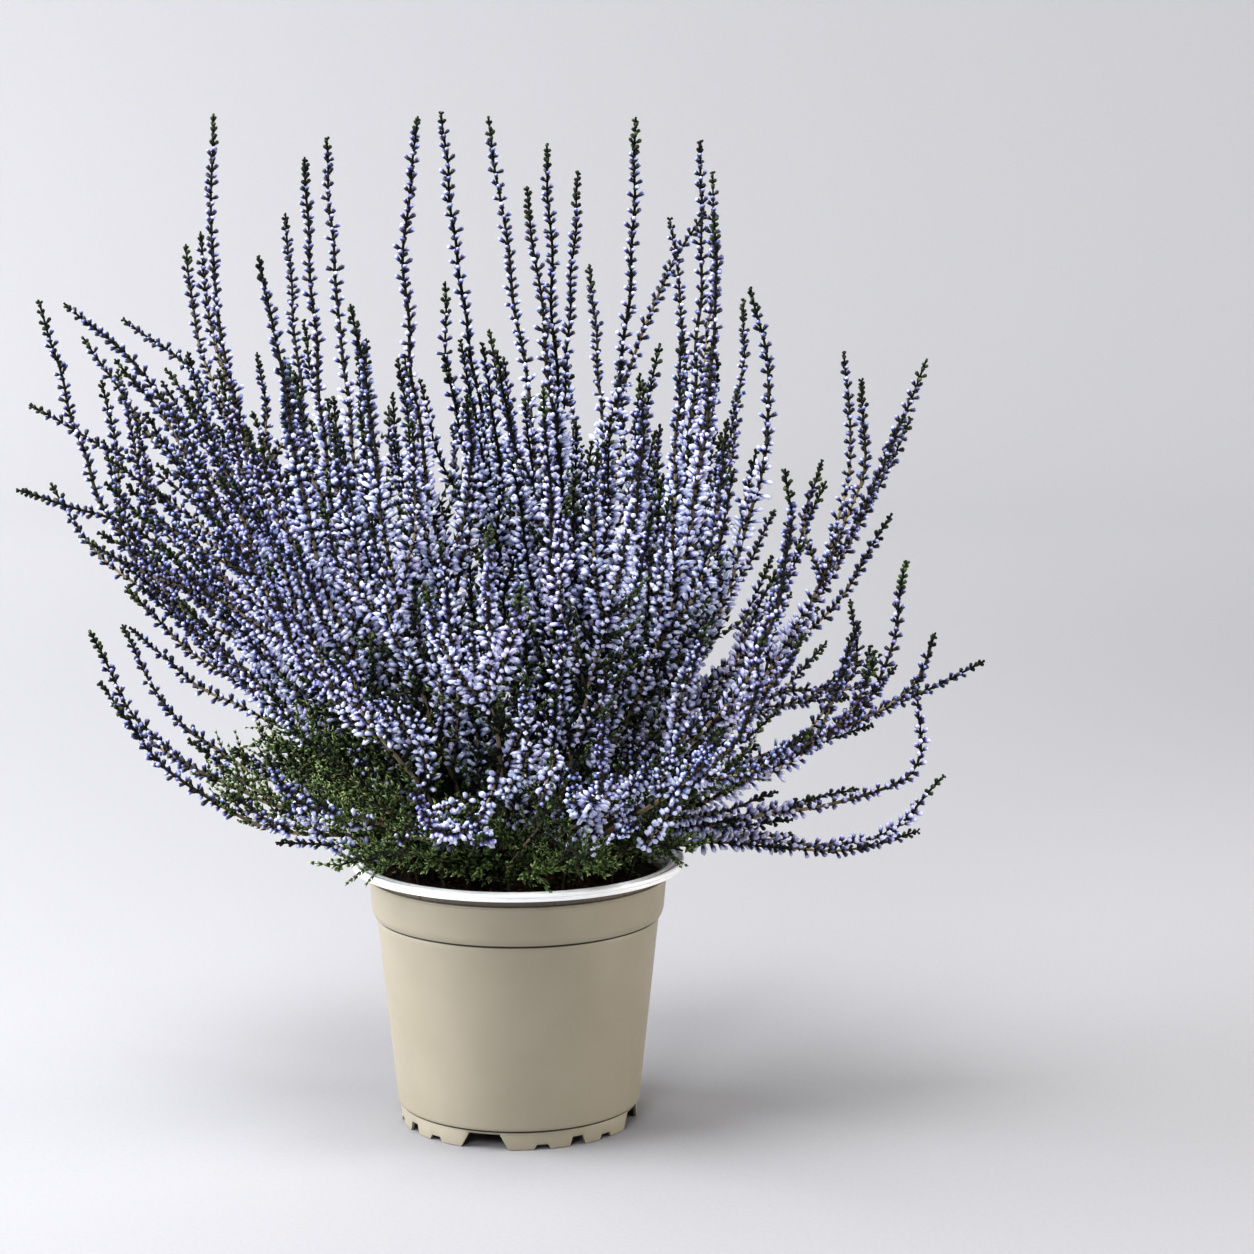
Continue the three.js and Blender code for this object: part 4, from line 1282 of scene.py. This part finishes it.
def bud_nodes(grown, bloom_from, early):
    """The places of the pairs of buds along a spike, and how ripe each is, from 0 to 1. `early`
    is how ripe they are at most near the tip of a spike that hangs out of the mass."""
    lots = grown.lots
    lengths = []
    ripeness = []
    place = bloom_from
    while place < grown.length - LAST_BUD:
        left = grown.length - place
        spot = grown.way.at(np.array(place))
        low = np.clip((INSIDE_HIGH - spot[2]) / (INSIDE_HIGH - INSIDE_LOW), 0, 1)
        near = np.clip((FREE_RADIUS - math.hypot(spot[0], spot[1])) / FREE_FADE, 0, 1)
        free = min(left / FREE_LENGTH, FREE_RIPENESS)
        ripe = min(1, max(free, left / RIPE_LENGTH * low * near))
        if early:
            soon, end = EARLY_LENGTHS
            ripens = np.clip(left / soon - 0.7, 0, 1)
            ripe = max(ripe, early * ripens * np.clip(1.4 - left / end, 0, 1.15))
        lengths.append(place)
        ripeness.append(ripe)
        pitch = np.interp(left, *PITCHES) + RIPE_PITCH * ripe
        place += pitch * lots.uniform(*PITCH_CHANCE)
    return np.array(lengths), np.array(ripeness)


def grow_buds(heap, grown, bloom_from, pod, early=0):
    """Buds in crossed pairs up to the tip, each with its bract, and green at the very end."""
    lots = grown.lots
    lengths, ripe = bud_nodes(grown, bloom_from, early)
    count = len(lengths)
    left = grown.length - lengths
    green = left < lots.uniform(*GREEN_END)
    drift = np.cumsum(lots.normal(0, DRIFT_CHANCE, count)) + lots.uniform(0, math.pi)
    crossed = drift + np.arange(count) * math.pi / 2
    fours = lots.uniform(0, 1, count) < np.clip((ripe - FOURS_FROM) * 2, 0, FOURS_MOST)
    size = np.interp(left, *SIZES) + RIPE_SIZE * ripe**1.4
    width = np.interp(left, *WIDTHS) + RIPE_WIDTH * ripe
    lean = np.radians(np.interp(left, *LEANS) + RIPE_LEAN * ripe)
    if early:
        size *= EARLY_SIZE
        width *= EARLY_WIDTH
    tone = np.clip(lots.normal(*BUD_TONE) + lots.normal(0, BUD_TONE[1], (count, 4)), 0, 1)
    for k in range(4):
        chosen = np.ones(count, bool) if k < 2 else fours
        riper = ripe[chosen]
        some = len(riper)
        places = lengths[chosen] + lots.uniform(-1, 1, some) * (BUD_SHIFT[0] + BUD_SHIFT[1] * riper)
        places = np.clip(places, 0, grown.length - LAST_BUD / 2)
        turn = crossed[chosen] + k % 2 * math.pi + k // 2 * math.pi / 2
        turn = turn + lots.normal(0, TURN_CHANCE, some)
        leans = lean[chosen] + lots.normal(0, LEAN_CHANCE, some)
        sizes = size[chosen] * lots.normal(1, SIZE_CHANCE, some)
        widths = width[chosen] * lots.normal(1, WIDTH_CHANCE, some)
        spoke, axes, sides = grown.outward(places, turn, leans)
        feet = grown.at(places) + spoke * BUD_OUT
        foot_tip = FOOT_TIP[0] + FOOT_TIP[1] * riper + lots.normal(0, FOOT_CHANCE, some)
        point_tip = POINT_TIP[0] + POINT_TIP[1] * riper + lots.normal(0, POINT_CHANCE, some)
        tones = tone[chosen, k]
        for finish, mask, share in ((PETAL, ~green[chosen], 1), (LEAF, green[chosen], GREEN_TONE)):
            heap.copies(pod, feet[mask], axes[mask], sides[mask], sizes[mask], widths[mask], finish,
                        foot_tip[mask], point_tip[mask], tones[mask] * share)
        turn = turn + lots.normal(0, TURN_CHANCE, some)
        _, axes, sides = grown.outward(places, turn, leans * BRACT_LEAN)
        bracts = np.minimum(sizes * BRACT_SHARE, BRACT_MOST)
        heap.copies(SCALE, feet, axes, sides, bracts, bracts * BRACT_WIDTH, LEAF,
                    np.zeros(some), np.full(some, BRACT_TIP), tones * BRACT_TONE)


TWIG_STEP = 4.4
TWIG_LEANS = (38, 66)  # degrees from the stem
TWIG_THICK = (0.35, 0.25, 0.15)
TWIG_CURVE = 0.3  # how far a twig curves up, as a share of its length
TWIG_UP = 0.8  # how much more upright than its stem it is at its end
TWIG_TONES = (0.3, 1.7)  # factors for its tone
TWIG_CHANCE = (0.8, 1.2)  # factors for the distance to the next pair of twigs
STALK_TIP = 0.3
STALK_TONE = 0.6
TWIG_DROOP = -0.4  # twigs that would point further down than this aren't there
LEAF_LENGTH = 3.0
LEAF_WIDTH = 0.34  # half the width of a leaf, as a share of its length
LEAF_PITCH = 0.68  # from one pair of leaves to the next, as a share of their length
LEAF_LEAN = (44, 22)  # degrees from the twig at its foot, and how much less at its tip
LEAF_TAPER = 0.35  # how much smaller the leaves at the tip are, and how much greener
LEAF_DARKER = 0.15  # and how much darker those at its foot
LEAF_TIPS = (0.1, 0.5)  # where in its colours a leaf starts, and where it ends at the twig's foot
LEAF_CHANCE = 0.08
SKEW = (0.31, 0.2, 0.93)  # a direction that no twig runs along


def grow_twig(heap, lots, foot, axis, rise, length, tone, leaf):
    """A short side twig set with crossed pairs of scale leaves, curving upwards."""
    count = max(3, int(length / (leaf * LEAF_PITCH)))
    share = (np.arange(count) + 0.6) / count
    line = foot + axis * (length * share)[:, None] + rise * (length * TWIG_CURVE * share**2)[:, None]
    forward = unit(axis + rise * (2 * TWIG_CURVE * share)[:, None])
    side = unit(np.cross(forward, SKEW))
    up = np.cross(forward, side)
    ends = [0, count // 2, count - 1]
    stalk = np.vstack([foot, line[ends[1:]]])
    heap.tube(stalk, side[ends], up[ends], np.array(TWIG_THICK), 3, LEAF,
              np.full(3, STALK_TIP), tone * STALK_TONE)
    turns = np.arange(count) * math.pi / 2 + lots.uniform(0, math.pi)
    sizes = leaf * (1 - LEAF_TAPER * share) * lots.normal(1, LEAF_CHANCE, count)
    lean = np.radians(LEAF_LEAN[0] - LEAF_LEAN[1] * share)
    tones = np.clip(tone + LEAF_TAPER * share - LEAF_DARKER, 0, 1)
    foot_tip, point_tip = LEAF_TIPS
    for half in (0, math.pi):
        _, axes = leaned(forward, side, up, turns + half, lean)
        heap.copies(SCALE, line, axes, unit(np.cross(axes, forward)), sizes, sizes * LEAF_WIDTH,
                    LEAF, np.full(count, foot_tip), point_tip + (1 - point_tip) * share, tones)


def grow_leaves(heap, grown, start, stop, reach, share, fresh,
                leaf=LEAF_LENGTH, step=TWIG_STEP, droop=TWIG_DROOP):
    """Leafy twigs in crossed pairs along a stretch of stem; `fresh` is how green they are."""
    lots = grown.lots
    place = start
    k = 0
    while place < stop:
        for half in (0, math.pi):
            if lots.uniform() > share:
                continue
            turn = np.array([k * math.pi / 2 + half + lots.normal(0, TURN_CHANCE)])
            lean = np.array([math.radians(lots.uniform(*TWIG_LEANS))])
            spot = np.array([place])
            _, axes, _ = grown.outward(spot, turn, lean)
            if axes[0][2] < droop:
                continue
            forward = grown.way.directions(spot)[0][0]
            length = lots.uniform(*reach)
            tone = np.clip(fresh * lots.uniform(*TWIG_TONES), 0, 1)
            rise = unit(forward + (0, 0, TWIG_UP))
            grow_twig(heap, lots, grown.at(spot)[0], axes[0], rise, length, tone, leaf)
        place += step * lots.uniform(*TWIG_CHANCE)
        k += 1


def first_length(grown, reached):
    """The length of a spike up to the first point of its line for which `reached` is true."""
    found = np.nonzero(reached)[0]
    return grown.way.lengths[found[0]] if len(found) else grown.length


def skirt_end(grown):
    """The length along a spike where it leaves the leafy skirt."""
    return first_length(grown, ~in_skirt(grown.way.line))


# Leafy twigs are given by their reach, from the shortest to the longest, the share of their places
# that have one, and how fresh they are.
SKIRT_START = 11  # where the twigs at the foot of a stem start
SKIRT_MOST = 0.6  # and the share of the stem that they cover at most
SKIRT_REACH = (8, 17)
SKIRT_SHARE = 0.9
SKIRT_FRESH = 0.45
UPPER_REACH = (5, 9)  # between the skirt and the bloom, and a little up into the bloom
UPPER_SHARE = 0.6
UPPER_OVERLAP = 8
UPPER_FRESH = 0.3
INNER_REACH = (16, 34)  # the dark ones among the stems, near black as painted shade in the gaps
INNER_SHARE = 0.85
INNER_SHADED_FRESH = 0.1
INNER_LEAF = 4.6
INNER_STEP = 7
INNER_LOW = 150
INNER_TOP = 280
INNER_RADIUS = 82
SIDE_REACH = (7, 14)
SIDE_SHARE = 0.9
SIDE_FRESH = 0.6
SIDE_START = 4
SIDE_BLOOM_START = 6
SIDE_BLOOM_LEAST = 8  # a side spike with less than this left above the skirt has no buds
LEAFY_SHARE = 0.64  # of the side spikes that start in the skirt
SPRAY_REACH = (6, 12)
SPRAY_LEAF = 4.0
SPRAY_DROOP = -0.8
SPRAY_FRESH_HEIGHTS = (126, 154)  # the lowest sprays are the greenest
SPRAY_FRESH = (2.8, 0.5)
FRONT_START = 3
SHOOT_START = 6
SHOOT_TWIG_REACH = (8, 18)
SHOOT_DROOP = -0.9


def grow_main(heap, grown, early):
    """A rooted stem: long leafy twigs at its foot, dark inner twigs above them as painted shade among the
    stems, then buds.
    """
    spread = 1 if grown.way.line[-1][1] < FRONT_TIPS else BLOOM_SPREAD
    low = min(skirt_end(grown), grown.length * SKIRT_MOST)
    bloom_from = max(grown.length * (1 - BLOOM_SHARE * spread), low)
    grow_buds(heap, grown, bloom_from, BUD, early)
    grow_leaves(heap, grown, SKIRT_START, low, SKIRT_REACH, SKIRT_SHARE, SKIRT_FRESH)
    grow_leaves(heap, grown, low, bloom_from + UPPER_OVERLAP, UPPER_REACH, UPPER_SHARE, UPPER_FRESH)
    x, y, z = grown.way.line.T
    start = first_length(grown, z > INNER_LOW)
    stop = first_length(grown, (z > INNER_TOP) | (np.hypot(x, y) > INNER_RADIUS))
    grow_leaves(heap, grown, start, stop, INNER_REACH, INNER_SHARE, INNER_SHADED_FRESH, INNER_LEAF,
                INNER_STEP)


def grow_side(heap, grown, pod):
    """A side spike: mostly leafy as far as it is in the skirt, and in bud beyond."""
    green = skirt_end(grown)
    if grown.lots.uniform() > LEAFY_SHARE:
        green = 0
    grow_leaves(heap, grown, SIDE_START, green, SIDE_REACH, SIDE_SHARE, SIDE_FRESH)
    if green < grown.length - SIDE_BLOOM_LEAST:
        grow_buds(heap, grown, max(green, SIDE_BLOOM_START), pod)


def grow_spray(heap, grown):
    """A leafy spray, greener the lower its tip is."""
    fresh = np.interp(grown.way.line[-1][2], SPRAY_FRESH_HEIGHTS, SPRAY_FRESH)
    grow_leaves(heap, grown, SPRAY_TWIG, grown.length, SPRAY_REACH, 1, fresh, SPRAY_LEAF,
                droop=SPRAY_DROOP)


def stem_piece(k):
    """A stem with its side spikes, the slender ones in the gaps, its sprays and its front spikes."""
    heap = Heap([BARK, PETAL, LEAF])
    front = front_spikes(k)
    for number, spike in enumerate(stems[k] + fillers[k] + sprays[k] + front):
        lots = np.random.default_rng([SEED, k, number])
        grown = Grown(spike, lots)
        grow_stem(heap, spike, grown, STEM_THICK if spike.rooted else SIDE_THICK)
        if spike.rooted:
            grow_main(heap, grown, EARLY.get(k, 0))
        elif spike in sprays[k]:
            grow_spray(heap, grown)
        elif spike in front:
            grow_buds(heap, grown, FRONT_START, BUD, early=1)
        else:
            grow_side(heap, grown, BUD if number < len(stems[k]) else FINE_BUD)
    return heap.piece(f"heather_stem_{k + 1:02d}")


def shoot_piece(k, spike):
    """A low shoot, leafy all the way."""
    heap = Heap([BARK, LEAF])
    lots = np.random.default_rng([SEED, len(stems), k])
    grown = Grown(spike, lots)
    grow_stem(heap, spike, grown, SIDE_THICK)
    grow_leaves(heap, grown, SHOOT_START, grown.length - 1, SHOOT_TWIG_REACH, 1, SKIRT_FRESH,
                droop=SHOOT_DROOP)
    return heap.piece(f"leafy_spray_{k + 1:02d}")


seat(pot_piece(), "pot_plastic", "pot")
seat(peat_piece(), "peat", "potting_soil")
for k in range(len(stems)):
    seat(stem_piece(k), "heather_bloom", f"flowering_stem_{k + 1:02d}")
for k, (spike,) in enumerate(shoots):
    seat(shoot_piece(k, spike), "heather_leaf", f"leafy_shoot_{k + 1:02d}")

# ---- Floor, light and camera -------------------------------------------------------------------

SWEEP_HALF_WIDTH = 3200
SWEEP_FRONT = -2600
SWEEP_BACK = 2300
SWEEP_RADIUS = 1300
SWEEP_HEIGHT = 2600
SWEEP_STEPS = 24


def paper_sweep():
    """Matt background paper: laid on the table and curved up behind."""
    material, shader = finish_of("matt_background_paper")
    spot = add(material, "ShaderNodeTexCoord").outputs["Object"]
    fibre = add(material, "ShaderNodeTexNoise", links={
        "Vector": spot, "Scale": per_metre(2), "Detail": 3})
    tint = add(material, "ShaderNodeValToRGB", links={"Fac": fibre.outputs["Fac"]},
               stops=[(0.3, "#98989b"), (0.7, "#9c9c9f")])
    gloss = add(material, "ShaderNodeMapRange", links={
        "Value": fibre.outputs["Fac"], "To Min": 0.85, "To Max": 0.95})
    set_shader(material, shader, tint.outputs["Color"], gloss.outputs["Result"],
               fibre.outputs["Fac"], 0.02)
    rows = [(SWEEP_FRONT, 0)]
    for k in range(SWEEP_STEPS + 1):
        turn = math.pi / 2 * k / SWEEP_STEPS
        rows.append((SWEEP_BACK + SWEEP_RADIUS * math.sin(turn), SWEEP_RADIUS * (1 - math.cos(turn))))
    rows.append((SWEEP_BACK + SWEEP_RADIUS, SWEEP_HEIGHT))
    points = []
    for y, z in rows:
        points += [(-SWEEP_HALF_WIDTH * MM, y * MM, z * MM), (SWEEP_HALF_WIDTH * MM, y * MM, z * MM)]
    faces = [(2 * k, 2 * k + 1, 2 * k + 3, 2 * k + 2) for k in range(len(rows) - 1)]
    mesh = bpy.data.meshes.new("paper_sweep")
    mesh.from_pydata(points, [], faces)
    mesh.polygons.foreach_set("use_smooth", np.ones(len(faces), bool))
    mesh.materials.append(material)
    sweep = bpy.data.objects.new("paper_sweep", mesh)
    bpy.context.scene.collection.objects.link(sweep)


# Each light: its place and the point that it looks at, its width and height, power and colour.
LIGHTS = {
    "key_left": ((-1900, -150, 980), (0, 0, 250), (2000, 1600), 103, "#fbfcff"),
    "top_front": ((-300, -600, 2000), (0, 0, 150), (900, 900), 46, "#ffffff"),
    "fill_right": ((1500, 0, 430), (0, 0, 130), (700, 600), 17, "#fff8ef"),
    "front": ((-350, -1700, 1100), (0, 0, 150), (500, 500), 17, "#ffffff"),
    "top_back": ((-300, 2300, 2300), (-300, 2500, 0), (2400, 1600), 41, "#ffffff"),
    "back_left": ((-1500, 1700, 1300), (-700, 1400, 0), (1000, 1000), 18, "#ffffff"),
    "back_right": ((1500, 1900, 1300), (800, 1600, 0), (1000, 1000), 6, "#ffffff"),
    "wall_left": ((-1900, 2300, 1200), (-900, 3600, 700), (1500, 1500), 38, "#ffffff"),
    "wall_right": ((1700, 2300, 1600), (900, 3600, 1000), (1500, 1500), 25, "#ffffff"),
}
STUDIO_COLOUR = "#e4e4ec"
STUDIO_STRENGTH = 0.09


def softbox(name, place, target, size, power, colour):
    """A soft area light that looks at a point."""
    light = bpy.data.lights.new(name, "AREA")
    light.shape = "RECTANGLE"
    light.size, light.size_y = size[0] * MM, size[1] * MM
    light.energy = power
    light.color = linear(colour)[:3]
    lamp = bpy.data.objects.new(name, light)
    lamp.location = np.array(place) * MM
    aim = np.array(target, float) - np.array(place, float)
    lamp.rotation_euler = Vector(aim).to_track_quat("-Z", "Y").to_euler()
    lamp.visible_camera = False
    bpy.context.scene.collection.objects.link(lamp)


def surroundings():
    """The dim room round the table."""
    world = bpy.data.worlds.new("studio")
    bpy.context.scene.world = world
    world.use_nodes = True
    shade = world.node_tree.nodes["Background"]
    shade.inputs["Color"].default_value = linear(STUDIO_COLOUR)
    shade.inputs["Strength"].default_value = STUDIO_STRENGTH


CAMERA_PLACE = (49.2, -1400, 441.5)
CAMERA_DIP = 8.78  # degrees below the horizon
CAMERA_LENS = 91.1
CAMERA_SENSOR = 36
VIEW_GAMMA = 0.88  # below 1 it deepens the shades


def look():
    """The camera, and how its picture is developed."""
    lens = bpy.data.cameras.new("camera")
    lens.lens = CAMERA_LENS
    lens.sensor_width = CAMERA_SENSOR
    camera = bpy.data.objects.new("camera", lens)
    camera.location = np.array(CAMERA_PLACE) * MM
    camera.rotation_euler = (math.radians(90 - CAMERA_DIP), 0, 0)
    bpy.context.scene.collection.objects.link(camera)
    bpy.context.scene.camera = camera
    bpy.context.scene.view_settings.view_transform = "Standard"
    bpy.context.scene.view_settings.gamma = VIEW_GAMMA


paper_sweep()
surroundings()
for name, settings in LIGHTS.items():
    softbox(name, *settings)
look()
